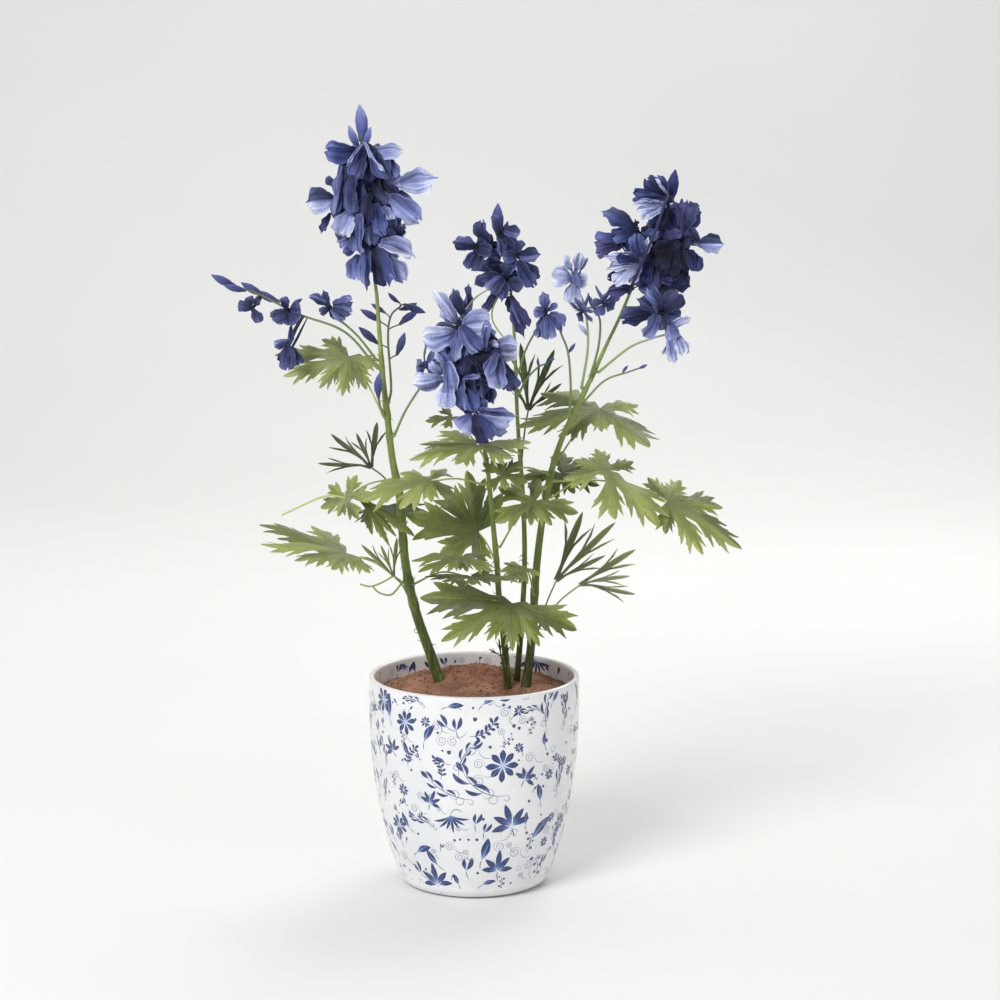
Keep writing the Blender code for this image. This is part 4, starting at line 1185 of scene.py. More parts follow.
LEAVES = {
    "leaf_left_top": Leaf("broad", "stem_left", 336, (-88, 14, 376), 50, -6, 0.12,
                          ((-168, 48), (-132, 31), (-98, 31), (-64, 29), (-20, 23), (138, 27), (171, 55))),
    "leaf_left_fine": Leaf("narrow", "stem_left", 282, (-73, 18, 297), 40, 0, 0.0,
                           ((86, 43), (110, 34), (134, 43), (176, 38))),
    "leaf_left_star": Leaf("plain", "stem_left", 292, (-89, -26, 282), 68, -10, 0.05,
                           ((-160, 19), (-112, 14), (-58, 18), (8, 19), (64, 18), (142, 16))),
    "leaf_left_arched": Leaf("plain", "stem_middle", 292, (-31, -40, 296), 30, 0, 0.25,
                             ((-172, 47), (-132, 29), (-82, 18), (-28, 20), (60, 24), (140, 26))),
    "leaf_left_hanging": Leaf("strap", "stem_left", 262, (-77, -14, 278), 60, 20, 0.1,
                              ((-72, 25), (-56, 36), (-42, 34), (-28, 44))),
    "leaf_left_low": Leaf("broad", "stem_left", 216, (-89, -22, 242), 16, 14, 0.06,
                          ((-172, 60), (-146, 42), (-108, 28), (-46, 26), (128, 44), (160, 67))),
    "leaf_left_slip": Leaf("narrow", "stem_left", 199, (-56, -26, 227), 58, 0, 0.05,
                           ((86, 29), (112, 25), (134, 33))),
    "leaf_centre_big": Leaf("plain", "stem_middle", 236, (3, 2, 253), 64, 0, 0.12,
                            ((-148, 33), (-84, 24), (60, 34), (100, 48), (126, 47), (164, 53))),
    "leaf_centre_flat": Leaf("plain", "stem_middle", 221, (-8, -41, 243), 16, 0, 0.12,
                             ((-152, 34), (-118, 20), (-78, 19), (-38, 27), (24, 20), (176, 35))),
    "leaf_centre_edge": Leaf("plain", "stem_left", 214, (-1, -62, 233), 4, 0, 0.04,
                             ((-158, 22), (-86, 18), (-28, 22), (2, 38), (60, 24), (168, 33))),
    "leaf_front_low": Leaf("broad", "stem_right", 184, (27, -46, 211), 46, 0, 0.12,
                           ((-151, 56), (-122, 33), (-90, 36), (-60, 37), (-22, 48), (172, 65))),
    "leaf_centre_top": Leaf("broad", "stem_middle", 309, (3, -56, 323), 20, 0, 0.08,
                            ((-164, 48), (-122, 28), (-32, 29), (14, 38), (134, 38), (170, 40))),
    "leaf_right_top": Leaf("broad", "stem_right", 303, (90, 44, 335), 26, 0, 0.12,
                           ((-166, 62), (-136, 42), (-89, 25), (-50, 53), (20, 30), (144, 52))),
    "leaf_right_near": Leaf("broad", "stem_right", 276, (94, -12, 299), 38, 4, 0.12,
                            ((-168, 32), (-84, 42), (-52, 56), (34, 22), (110, 24), (154, 26))),
    "leaf_right_far": Leaf("broad", "stem_right", 288, (136, -14, 278), 44, 12, 0.12,
                           ((-94, 27), (-57, 46), (-28, 61), (4, 41), (64, 24), (124, 24))),
    "leaf_centre_front": Leaf("plain", "stem_middle", 246, (41, -44, 282), 46, 0, 0.12,
                              ((-150, 30), (-94, 18), (-54, 22), (-12, 32), (78, 22), (148, 28))),
    "leaf_centre_right": Leaf("plain", "stem_right", 292, (20, -47, 301), 56, 0, 0.12,
                              ((-138, 15), (-78, 11), (-14, 18), (42, 17), (92, 13), (142, 17))),
    "leaf_fine_back": Leaf("narrow", "stem_right", 176, (59, 26, 214), 56, 0, 0.0,
                           ((28, 40), (46, 62), (70, 57))),
    "leaf_fine_right": Leaf("narrow", "stem_right", 182, (75, -6, 217), 40, 0, 0.0,
                            ((-14, 40), (12, 36), (38, 51))),
    "leaf_foot": Leaf("narrow", "stem_middle", 150, (19, -10, 166), 60, 0, 0.0,
                      ((44, 11), (96, 13), (150, 10))),
    "leaf_fine_top": Leaf("narrow", "stem_back", 300, (39, 72, 331), 58, 0, 0.0,
                          ((40, 32), (68, 52), (96, 54), (120, 38))),
    "leaf_small_top": Leaf("plain", "stem_middle", 312, (-15, -8, 336), 30, 0, 0.05,
                           ((-170, 19), (-112, 13), (-20, 12), (120, 14))),
    "leaf_centre_small": Leaf("plain", "stem_right", 206, (37, -27, 232), 24, 0, 0.05,
                              ((-174, 20), (-142, 21), (-108, 17), (-40, 12), (154, 18))),
    "leaf_behind_right": Leaf("plain", "stem_back", 262, (63, 62, 285), 34, 0, 0.1,
                              ((-178, 30), (-119, 28), (-64, 21), (-19, 29), (37, 27), (88, 27))),
    "leaf_behind_left": Leaf("plain", "stem_left", 244, (-62, 48, 264), -24, -8, 0.1,
                             ((0, 26), (46, 34), (88, 38), (130, 34), (176, 26))),
}

# Stalks that end bare, by the leaf they grow with
BARE_STALKS = {
    "leaf_left_star": (((-104, -27, 283), (-133, -34, 271)),),
    "leaf_left_slip": (
        ((-64, -26, 222), (-72, -30, 220), (-79, -32, 222)),
        ((-58, -14, 211), (-66, -18, 213), (-71, -20, 218)),
    ),
}

SPRAYS = {
    "spray_left": Spray(
        "stem_left", None, ((-69, -8, 439), (-73, -8, 487), (-77, -8, 527)), 1.2, 0.8,
        (
            ((-54, 12, 464), 42, 112, 0, 20), ((-86, 14, 474), 44, 216, 6, 0),
            ((-70, 12, 506), 44, 164, 10, 30), ((-66, 12, 448), 38, 172, -8, 10),
        ),
        (
            ((-77, -8, 527), (-78, -8, 552)), ((-78, -10, 522), (-85, -14, 538)),
            ((-75, -10, 522), (-70, -12, 537)),
        ),
        4,
    ),
    "spray_middle": Spray(
        "stem_middle", None, ((5, -41, 345), (-2, -45, 387), (-6, -44, 408)), 1.2, 0.8,
        (
            ((-4, -22, 392), 42, 172, 6, 0), ((12, -24, 364), 36, 126, 0, 20),
            ((-17, -27, 384), 38, 236, 4, 30),
        ),
        (
            ((-6, -42, 408), (-13, -40, 425)), ((-4, -40, 406), (-2, -38, 427)),
        ),
        5,
    ),
    "spray_back": Spray(
        "stem_back", None, ((26, 52, 420), (21, 54, 445), (18, 54, 456)), 1.1, 0.7,
        (
            ((20, 74, 446), 32, 176, 6, 0), ((12, 72, 430), 30, 206, 0, 20),
        ),
        (
            ((18, 54, 456), (17, 53, 481)), ((19, 56, 454), (24, 58, 468)),
        ),
        5,
    ),
    "spray_right": Spray(
        "stem_right", None, ((103, 14, 405), (116, 12, 437), (130, 10, 465), (136, 8, 484)), 1.2, 0.8,
        (
            ((141, 34, 466), 42, 166, 6, 0), ((121, 36, 450), 40, 206, 6, 20),
            ((137, 34, 430), 38, 152, 0, 40),
        ),
        (
            ((137, 8, 484), (140, 7, 507)), ((135, 9, 482), (129, 14, 496)),
        ),
        9,
    ),
    "spray_left_side": Spray(
        "stem_left", 370, ((-90, 0, 395), (-123, 6, 407), (-149, 8, 420), (-166, 9, 426)), 0.9, 0.6,
        (),
        (
            ((-166, 9, 426), (-183, 8, 434)), ((-159, 7, 423), (-174, 4, 427)),
            ((-147, 11, 420), (-163, 15, 428)), ((-136, 11, 415), (-152, 17, 422)),
            ((-128, 9, 411), (-120, 12, 417)),
        ),
    ),
    "spray_left_single": Spray(
        "stem_left", 376, ((-79, -13, 392), (-89, -16, 402), (-96, -15, 406)), 0.85, 0.7,
        (),
    ),
    "spray_left_buds": Spray(
        "stem_left", 344, ((-58, 6, 356), (-60, 7, 389), (-58, 9, 405), (-51, 12, 412)), 0.95, 0.6,
        (),
        (
            ((-65, 7, 401), (-79, 5, 410)), ((-67, 6, 386), (-80, 2, 398)),
            ((-52, 10, 399), (-39, 12, 408)), ((-54, 6, 378), (-48, 2, 394)),
            ((-62, 12, 407), (-72, 16, 413)), ((-49, 13, 413), (-34, 14, 407)),
            ((-52, 15, 409), (-40, 20, 413)), ((-52, 13, 414), (-60, 14, 421)),
        ),
    ),
    "bud_left_low": Spray(
        "stem_left", 338, ((-65, -12, 344), (-66, -14, 350)), 0.9, 0.8,
        (),
        (
            ((-66, -14, 350), (-65, -17, 368)),
        ),
    ),
    "flower_long_stalk": Spray(
        "stem_left", 322, ((-47, -15, 342), (-36, -24, 360), (-31, -27, 369)), 0.9, 0.75,
        (
            ((-33, -32, 375), 34, -58, 4, 30),
        ),
    ),
    "flower_back": Spray(
        "stem_back", 362, ((37, 44, 378), (45, 36, 394)), 0.85, 0.7,
        (),
    ),
    "flower_right_light": Spray(
        "stem_right", 352, ((80, 7, 384), (78, 6, 410), (73, 2, 424)), 0.9, 0.7,
        (),
        (
            ((79, 6, 392), (73, 5, 400)),
        ),
    ),
    "flower_right_hanging": Spray(
        "stem_right", 366, ((108, 3, 383), (122, -4, 390), (134, -8, 394)), 0.9, 0.7,
        (),
    ),
    "spray_right_side": Spray(
        "stem_right", 362, ((87, 0, 384), (88, -6, 402), (85, -10, 411)), 0.9, 0.65,
        (
            ((75, -15, 411), 26, -40, -30, 0), ((91, -13, 417), 26, 30, -24, 20),
        ),
        (
            ((85, -10, 411), (80, -8, 421)),
        ),
    ),
    "twig_right": Spray(
        "stem_right", 346, ((92, 7, 360), (108, -2, 367), (115, -6, 370)), 0.8, 0.55,
        (),
        (
            ((115, -6, 370), (121, -8, 373)), ((104, 0, 366), (108, 3, 371)),
        ),
    ),
    "twig_middle": Spray(
        "stem_back", 346, ((38, 38, 358), (46, 30, 367), (52, 25, 370)), 0.8, 0.55,
        (),
        (
            ((52, 25, 370), (57, 22, 374)), ((46, 31, 367), (45, 29, 373)),
        ),
    ),
    "twig_bud": Spray(
        "stem_right", 334, ((68, 4, 356), (66, 0, 380), (61, -4, 394)), 0.9, 0.7,
        (),
        (
            ((61, -4, 394), (58, -5, 405)), ((66, 0, 380), (71, 0, 387)),
        ),
    ),
}


SOIL_LEVEL = 140
HOLE_DEPTH = 24.0
CLEARANCE = 0.3
LEAF_ARCH = 0.10
LEAF_FOLD = 0.28
CUT_SINK = 0.03
LOBE_FILL = 0.49
OPEN_MOUTH = 2.1
LEAST_EDGE = 0.6
LEAF_SHELL = 0.35
STALK_RADIUS = 0.95
# Painted shade: how bright one half of a lobe may be beside the other, as if folded away from the light
FOLD_SHADES = (1.0, 1.0, 1.0, 0.78, 0.5)
CUTS = {"broad": 0.44, "plain": 0.44, "strap": 0.20, "narrow": 0.10}

# Half of a lobe's outline, as (along, across) shares of its length, from the cut beside it to its tip. TEETH
# gives the points that are the tips of teeth, where side veins end.
OUTLINES = {
    "broad": ((0.26, 0.075), (0.40, 0.160), (0.50, 0.235), (0.585, 0.315), (0.60, 0.290), (0.655, 0.325),
              (0.72, 0.368), (0.70, 0.315), (0.66, 0.250), (0.61, 0.180), (0.68, 0.195), (0.76, 0.250),
              (0.775, 0.228), (0.83, 0.252), (0.905, 0.272), (0.865, 0.205), (0.785, 0.105), (0.86, 0.100),
              (0.93, 0.068), (0.98, 0.030)),
    "plain": ((0.28, 0.085), (0.42, 0.175), (0.56, 0.245), (0.655, 0.300), (0.67, 0.270), (0.75, 0.305),
              (0.84, 0.325), (0.80, 0.240), (0.71, 0.130), (0.80, 0.130), (0.90, 0.090), (0.97, 0.038)),
    "strap": ((0.22, 0.030), (0.40, 0.075), (0.56, 0.115), (0.68, 0.145), (0.665, 0.105), (0.80, 0.130),
              (0.78, 0.085), (0.90, 0.055), (0.97, 0.025)),
    "narrow": ((0.20, 0.022), (0.32, 0.034), (0.48, 0.058), (0.66, 0.112), (0.84, 0.190), (0.68, 0.094),
               (0.50, 0.040), (0.64, 0.046), (0.82, 0.040), (0.94, 0.020)),
}
TEETH = {"broad": (3, 6, 11, 14), "plain": (3, 6), "strap": (3, 5), "narrow": (4,)}
RIB_SKEW = {"broad": 0.85, "plain": 0.85, "strap": 0.9, "narrow": 0.9}


def stem_line(stem: Stem, steps: int = 2) -> list[Vector]:
    """The points of a stem from its foot in the soil up."""
    first, second = in_metres(stem.line[:2])
    foot = first - (second - first).normalized() * HOLE_DEPTH * MM
    return [foot] + smooth_line(in_metres(stem.line), steps)


def stem_at(stem: Stem, height: float) -> tuple[Vector, float, Vector]:
    """A stem's centre, radius and direction at a height in millimetres."""
    points = stem_line(stem)
    for k, (low, high) in enumerate(zip(points, points[1:])):
        if low.z <= height * MM <= high.z:
            share = (height * MM - low.z) / (high.z - low.z)
            radius = stem.thick + (stem.thin - stem.thick) * (k + share) / (len(points) - 1)
            return low.lerp(high, share), radius * MM, (high - low).normalized()
    raise ValueError(f"no stem there at {height} mm")


def seat(name: str, height: float, toward: Vector, radius: float) -> list[Vector]:
    """The middle of a stem, its side, and a point straight out from it, where a side stalk leaves it."""
    centre, thick, ahead = stem_at(STEMS[name], height)
    away = toward - centre
    out = (away - ahead * away.dot(ahead)).normalized()
    start = centre + out * (thick + CLEARANCE * MM)
    middle = centre + out * 0.4 * thick - ahead * 0.8 * radius
    return [middle, start, start + (out + 0.25 * ahead) * 2 * radius]


@dataclass(frozen=True)
class StemPiece:
    """A stem with its ridges, swollen joints and small bracts."""

    name: str
    material: bpy.types.Material
    sides: int = 14
    base: Colour = ink("354515")
    middle: Colour = ink("586a22")
    top: Colour = ink("8a9a50")
    bract: Colour = ink("7f9044")

    def joints(self) -> list[float]:
        """The heights in millimetres where leaves and side stalks leave this stem."""
        heights = [leaf.joins for leaf in LEAVES.values() if leaf.stem == self.name]
        return heights + [spray.joins for spray in SPRAYS.values() if spray.stem == self.name and spray.joins]

    def tint(self, height: float) -> Colour:
        """The stem's colour at a height in metres."""
        share = (height / MM - SOIL_LEVEL) / 240
        return along_stops(((0.0, self.base), (0.35, self.middle), (1.0, self.top)), share)

    def build(self) -> bpy.types.Object:
        """Makes the stem."""
        stem = STEMS[self.name]
        steps = 10
        coarse = len(stem_line(stem)) - 1
        line = stem_line(stem, steps)
        heights = [point.z for point in line]
        joints = self.joints()

        def radius(share: float) -> float:
            place = share * (len(line) - 1)
            spans = min(place, 1.0) + max(place - 1.0, 0.0) * 2 / steps
            plain = stem.thick + (stem.thin - stem.thick) * spans / coarse
            height = heights[round(place)] / MM
            swell = sum(0.20 * math.exp(-((height - joint) / 2.6) ** 2) for joint in joints)
            foot = 0.12 * math.exp(-((height - SOIL_LEVEL) / 5) ** 2)
            return plain * (1 + min(swell, 0.34) + foot) * MM

        def tint(share: float) -> Colour:
            return self.tint(heights[round(share * (len(line) - 1))])

        body = Body()
        body.tube(line, radius, tint, self.sides, 0.07)
        draw = random.Random(len(self.name) * 7 + len(joints))
        for joint in joints + [draw.uniform(150, 230) for _ in range(5)]:
            for _ in range(2):
                self.add_bract(body, stem, joint + draw.uniform(-3, 3), draw)
        return body.build(self.name, self.material, [self.name], "stem")

    def add_bract(self, body: Body, stem: Stem, height: float, draw: random.Random) -> None:
        """One small pointed bract that stands off the stem."""
        centre, thick, ahead = stem_at(stem, max(height, 143.0))
        turn = draw.uniform(0, 2 * math.pi)
        side = ahead.orthogonal().normalized()
        out = Matrix.Rotation(turn, 3, ahead) @ side
        length = draw.uniform(2.0, 4.6) * MM
        rise = 0.9 if draw.random() < 0.6 else -0.4
        line = [centre + out * 0.6 * thick, centre + out * (thick + 0.35 * length) + ahead * 0.2 * length,
                centre + out * (thick + 0.7 * length) + ahead * rise * length]
        body.tube(smooth_line(line, 3), lambda share: (0.42 * (1 - share) + 0.07) * MM,
                  lambda share: blend(self.tint(centre.z), self.bract, share), 5)


@dataclass(frozen=True)
class LeafTone:
    """A leaf's colours at its hub, middle, tips and stalk, and how bright its back is, a painted shade."""

    hub: Colour
    middle: Colour
    tip: Colour
    stalk: Colour
    back: float


# Lit and shaded copies of one green: PALE_LEAF is painted light for leaves in full light; GREEN_LEAF,
# OLIVE_LEAF and SHADED_LEAF are painted shade, deeper by turn, for leaves deeper in the plant, behind it and
# low down; ASH_LEAF is the fine leaves' grey green, made lighter as painted light where they face away from
# the light
PALE_LEAF = LeafTone(ink("a6b074"), ink("b6c06c"), ink("ccd57a"), ink("bac46e"), 0.6)
GREEN_LEAF = LeafTone(ink("7d8850"), ink("909c4a"), ink("abb656"), ink("9ca758"), 0.6)
OLIVE_LEAF = LeafTone(ink("59632f"), ink("687431"), ink("808c3e"), ink("778244"), 0.65)
SHADED_LEAF = LeafTone(ink("2f3a1b"), ink("37451f"), ink("455326"), ink("4e5d32"), 0.75)
ASH_LEAF = LeafTone(ink("6f7a55"), ink("7f8a5f"), ink("a0aa6e"), ink("929c6a"), 0.85)
TONES = {
    "leaf_left_top": PALE_LEAF, "leaf_left_low": PALE_LEAF, "leaf_left_star": PALE_LEAF,
    "leaf_left_arched": PALE_LEAF, "leaf_right_near": PALE_LEAF, "leaf_right_far": PALE_LEAF,
    "leaf_centre_top": PALE_LEAF, "leaf_right_top": PALE_LEAF,
    "leaf_left_fine": SHADED_LEAF, "leaf_fine_back": ASH_LEAF, "leaf_fine_top": SHADED_LEAF,
    "leaf_foot": SHADED_LEAF, "leaf_behind_left": SHADED_LEAF, "leaf_behind_right": OLIVE_LEAF,
    "leaf_centre_edge": OLIVE_LEAF, "leaf_fine_right": ASH_LEAF,
}
LEAF_SLOTS = {PALE_LEAF: "leaf_pale", GREEN_LEAF: "leaf", OLIVE_LEAF: "leaf_dark", ASH_LEAF: "leaf_dark",
              SHADED_LEAF: "leaf_dark"}


def rib_partners(outline: Sequence[tuple[float, float]], skew: float) -> list[float]:
    """Where on the rib the side vein to each point of a lobe's outline starts, so that no two veins cross.

    Args:
        outline: the (along, across) points of half a lobe.
        skew: how far a side vein runs forward for each step outwards.

    Returns:
        One share of the rib for each point, in rising order.
    """
    starts = []
    for k, (along, across) in enumerate(outline):
        start = along - skew * across
        for other_along, other_across in outline[k + 1:]:
            if other_across < across:
                share = other_across / across
                start = min(start, (other_along - share * along) / (1 - share) - 0.012)
        starts.append(start)
    for k in range(len(starts) - 2, -1, -1):
        starts[k] = min(starts[k], starts[k + 1] - 0.004)
    return starts


@dataclass(frozen=True)
class LeafPiece:
    """A leaf as a thin veined blade of toothed lobes on its stalk."""

    name: str
    material: bpy.types.Material
    across_steps: int = 5

    def lobes(self) -> list[tuple[float, float]]:
        """The lobes in order from the leaf's open side, which is the widest gap between two of them."""
        ordered = sorted(LEAVES[self.name].lobes)
        gaps = [(after[0] - lobe[0]) % 360 for lobe, after in zip(ordered, ordered[1:] + ordered[:1])]
        first = gaps.index(max(gaps)) + 1
        return [(heading - 360, length) for heading, length in ordered[first:]] + ordered[:first]

    def tint(self, tone: LeafTone, reach: float, across: float, shade: float) -> Colour:
        """The blade's colour at a share of its reach and of its half width, with painted shade towards the
        rib.
        """
        colour = along_stops(((0.0, tone.hub), (0.5, tone.middle), (1.0, tone.tip)), reach)
        streak = noise.noise(Vector((3.5 * across, 1.5 * reach, 40 * shade)))
        # shade is painted light and shade for how the lobe lies to the light; the last factor is painted
        # shade towards the rib
        return tuple(c * shade * (1 + 0.45 * streak) * (0.82 + 0.18 * across) for c in colour)

    def blade(self, draw: random.Random) -> Sheet:
        """The leaf's blade about its hub, heading 0 along +X and face up +Z."""
        leaf = LEAVES[self.name]
        tone = TONES.get(self.name, GREEN_LEAF)
        outline, cut = OUTLINES[leaf.kind], CUTS[leaf.kind]
        starts = rib_partners(outline, RIB_SKEW[leaf.kind])
        lobes = self.lobes()
        angles = [math.radians(heading) for heading, _ in lobes]
        lengths = [length * MM for _, length in lobes]
        mean = sum(lengths) / len(lengths)
        widest = max(math.atan2(across, along) for along, across in outline)
        open_side = angles[0] + 2 * math.pi - angles[-1]
        edge = min(max(LEAST_EDGE, (open_side - OPEN_MOUTH) / 2), 0.45 * open_side)
        gaps = [2 * edge] + [b - a for a, b in zip(angles, angles[1:])] + [2 * edge]
        bounds = [angles[0] - edge] + [(a + b) / 2 for a, b in zip(angles, angles[1:])] + [angles[-1] + edge]
        sheet = Sheet()

        def place(angle: float, length: float, along: float, aside: float, wave: float) -> Vector:
            x = (along * math.cos(angle) - aside * math.sin(angle)) * length
            y = (along * math.sin(angle) + aside * math.cos(angle)) * length
            out = math.hypot(along, aside)
            height = LEAF_ARCH * out - (LEAF_ARCH + leaf.droop) * out * out - LEAF_FOLD * abs(aside)
            height += 0.10 * abs(aside) * math.sin(11 * along + wave) + 0.012 * math.sin(7 * along + 2 * wave)
            return Vector((x, y, height * length))

        def cut_row(bound: float, gap: float) -> list[Vector]:
            far = cut * (1 - 0.6 * smooth(0.7, 1.4, gap))
            row = []
            for n in range(self.across_steps + 1):
                share = n / self.across_steps
                point = place(bound, mean, far * share, 0, 0)
                row.append(point - UP * CUT_SINK * mean * share)
            return row

        for k, (angle, length) in enumerate(zip(angles, lengths)):
            # Painted light and shade: each lobe, and each half of it, is made lighter and darker as a whole
            # for how it lies to the light
            shade = draw.uniform(0.84, 1.12)
            wave = draw.uniform(0, 2 * math.pi)
            for side, gap, bound in ((-1, gaps[k], bounds[k]), (1, gaps[k + 1], bounds[k + 1])):
                squeeze = min(1.0, LOBE_FILL * gap / widest)
                painted_shading = shade * draw.choice(FOLD_SHADES)
                hub_row = cut_row(bound, gap)
                web = math.hypot(hub_row[-1].x, hub_row[-1].y) / length
                # The hub is painted darker, a painted shade where the lobes meet
                rows = [[sheet.corner(point, self.tint(tone, n / 12, 0, 0.85), (0.0, 0.5, 1.0))
                         for n, point in enumerate(hub_row)]]
                for n, ((along, across), start) in enumerate(zip(outline, starts)):
                    if along < web + 0.03:
                        continue
                    wobble = draw.uniform(-0.010, 0.010) if leaf.kind != "narrow" else 0
                    tooth = 1.0 if n in TEETH[leaf.kind] else 0.0
                    row = []
                    for m in range(self.across_steps + 1):
                        share = m / self.across_steps
                        x = start + (along + wobble * share - start) * share ** 1.1
                        y = side * across * squeeze * share
                        point = place(angle, length, x, y, wave)
                        colour = self.tint(tone, math.hypot(x, y), share, painted_shading)
                        row.append(sheet.corner(point, colour, (tooth, share, 1.0)))
                    rows.append(row)
                colour = self.tint(tone, 1.0, 0, shade)
                tip = sheet.corner(place(angle, length, 1.0, 0, wave), colour, (0.0, 0.0, 1.0))
                rows.append([tip] * len(rows[-1]))
                sheet.grid(rows, side < 0)
        return sheet

    def build(self) -> bpy.types.Object:
        """Makes the leaf."""
        leaf = LEAVES[self.name]
        draw = random.Random(sum(map(ord, self.name)))
        tone = TONES.get(self.name, GREEN_LEAF)
        front, right = math.radians(leaf.lean_front), math.radians(leaf.lean_right)
        lift = math.cos(right)
        face = Vector((math.sin(right), -math.sin(front) * lift, math.cos(front) * lift))
        level = Vector((1, 0, 0))
        level = (level - face * level.dot(face)).normalized()
        turn = Matrix((level, face.cross(level), face)).transposed().to_4x4()
        place = Matrix.Translation(Vector(leaf.hub) * MM) @ turn
        body = Body()
        # Its underside is darkened by tone.back, a painted shade.
        self.blade(draw).shell(body, place, LEAF_SHELL * MM, tone.back)
        under = place @ Vector((0, 0, -0.9 * MM))
        end = place @ Vector((0, 0, -0.1 * MM))
        root = seat(leaf.stem, leaf.joins, under, STALK_RADIUS * MM)
        middle = root[2].lerp(under, 0.5) + UP * (0.08 * (under - root[2]).length)
        line = root[:2] + smooth_line([root[2], middle, under], 8) + [end]

        def stalk_tint(share: float) -> Colour:
            return tuple(c * (0.72 + 0.28 * share) for c in tone.stalk)

        def stalk_radius(share: float) -> float:
            return STALK_RADIUS * (0.62 + 0.75 * math.exp(-share * 9) + 0.18 * smooth(0.9, 1.0, share)) * MM

        body.tube(line, stalk_radius, stalk_tint, 10, 0.05)
        for bare in BARE_STALKS.get(self.name, ()):
            path = in_metres(bare)
            path.insert(0, nearest(line, path[0]))
            body.tube(smooth_line(path, 8), lambda share: STALK_RADIUS * (0.78 - 0.16 * share) * MM,
                      lambda share: tone.stalk, 8)
        return body.build(self.name, self.material, [self.name], LEAF_SLOTS[tone])


PETAL_SHELL = 0.28
PEDICEL_RADIUS = 0.75
PETAL_COUNT = 5
# How many numbers floret draws for each petal
PETAL_DRAWS = 5
# The widest flower on a slim stalk, and the narrowest with bracts, in millimetres
SLIM_FLOWER = 40
BRACT_FLOWER = 30
# The shortest bud that is plump, in millimetres
PLUMP_BUD = 22
PETAL_FOLD = 0.25
NECK_DEPTH = 0.26

# Half a petal's width at a place along it, both as shares of its length
PETAL_WIDTHS = ((0.08, 0.07), (0.20, 0.11), (0.36, 0.20), (0.52, 0.285), (0.66, 0.335), (0.78, 0.335),
                (0.88, 0.27), (0.95, 0.155), (1.0, 0.045), (1.03, 0.0))
BUD_WIDTHS = ((0.0, 0.07), (0.12, 0.11), (0.35, 0.19), (0.55, 0.205), (0.75, 0.15), (0.9, 0.08), (1.0, 0.02))
BEE_WIDTHS = ((0.08, 0.07), (0.35, 0.12), (0.62, 0.24), (0.82, 0.27), (0.95, 0.20), (1.03, 0.10))


@dataclass(frozen=True)
class PetalTone:
    """A flower's colours from its throat out, its margin's, its mid stripe's, and its stalk's."""

    throat: Colour
    heart: Colour
    body: Colour
    end: Colour
    margin: Colour
    stripe: Colour
    bee: Colour
    stalk: Colour

    def at(self, along: float, across: float, stripe: float, light: float) -> Colour:
        """The colour at a place on a petal.

        Args:
            along: the share of its length.
            across: the share of its half width.
            stripe: how strong its mid stripe is.
            light: how far it is drawn towards its paler end colour.

        Returns:
            The colour there.
        """
        stops = ((0.08, self.throat), (0.22, self.heart), (0.52, self.body), (0.9, self.end),
                 (1.1, self.margin))
        colour = along_stops(stops, along + 0.25 * light * smooth(0.15, 0.5, along))
        colour = blend(colour, self.margin, 0.55 * smooth(0.72, 1.0, across) * smooth(0.3, 0.7, along))
        band = math.exp(-((across / 0.20) ** 2)) * (1 - smooth(0.55, 1.0, along))
        return blend(colour, self.stripe, min(1.0, stripe * band))


class Hue(Enum):
    """The colours of a petal at its root, in its middle and at its margin."""

    WHITE = (ink("555e94"), ink("a9b1da"), ink("dde1f5"))
    PALE = (ink("353d70"), ink("8790c2"), ink("bcc3e6"))
    LILAC = (ink("232850"), ink("5e679e"), ink("8f98c8"))
    BLUE = (ink("15193c"), ink("3a437a"), ink("6772ac"))
    SLATE = (ink("12152f"), ink("31385f"), ink("58618e"))
    VIOLET = (ink("171533"), ink("3c3a6a"), ink("64639a"))
    INDIGO = (ink("0a0d26"), ink("1f2457"), ink("404886"))
    NAVY = (ink("070818"), ink("121535"), ink("2a2f5e"))
    # BLACK is partly petal colour and partly painted shade: it goes on the petals, hearts and tangles in the
    # shaded middles of the racemes
    BLACK = (ink("04050d"), ink("090b20"), ink("161a40"))


class End(Enum):
    """How a petal ends: (how deep its notch is, how sharp its point is)."""

    ROUND = (0.01, 0.0)
    NOTCHED = (0.13, 0.0)
    POINTED = (0.0, 0.12)


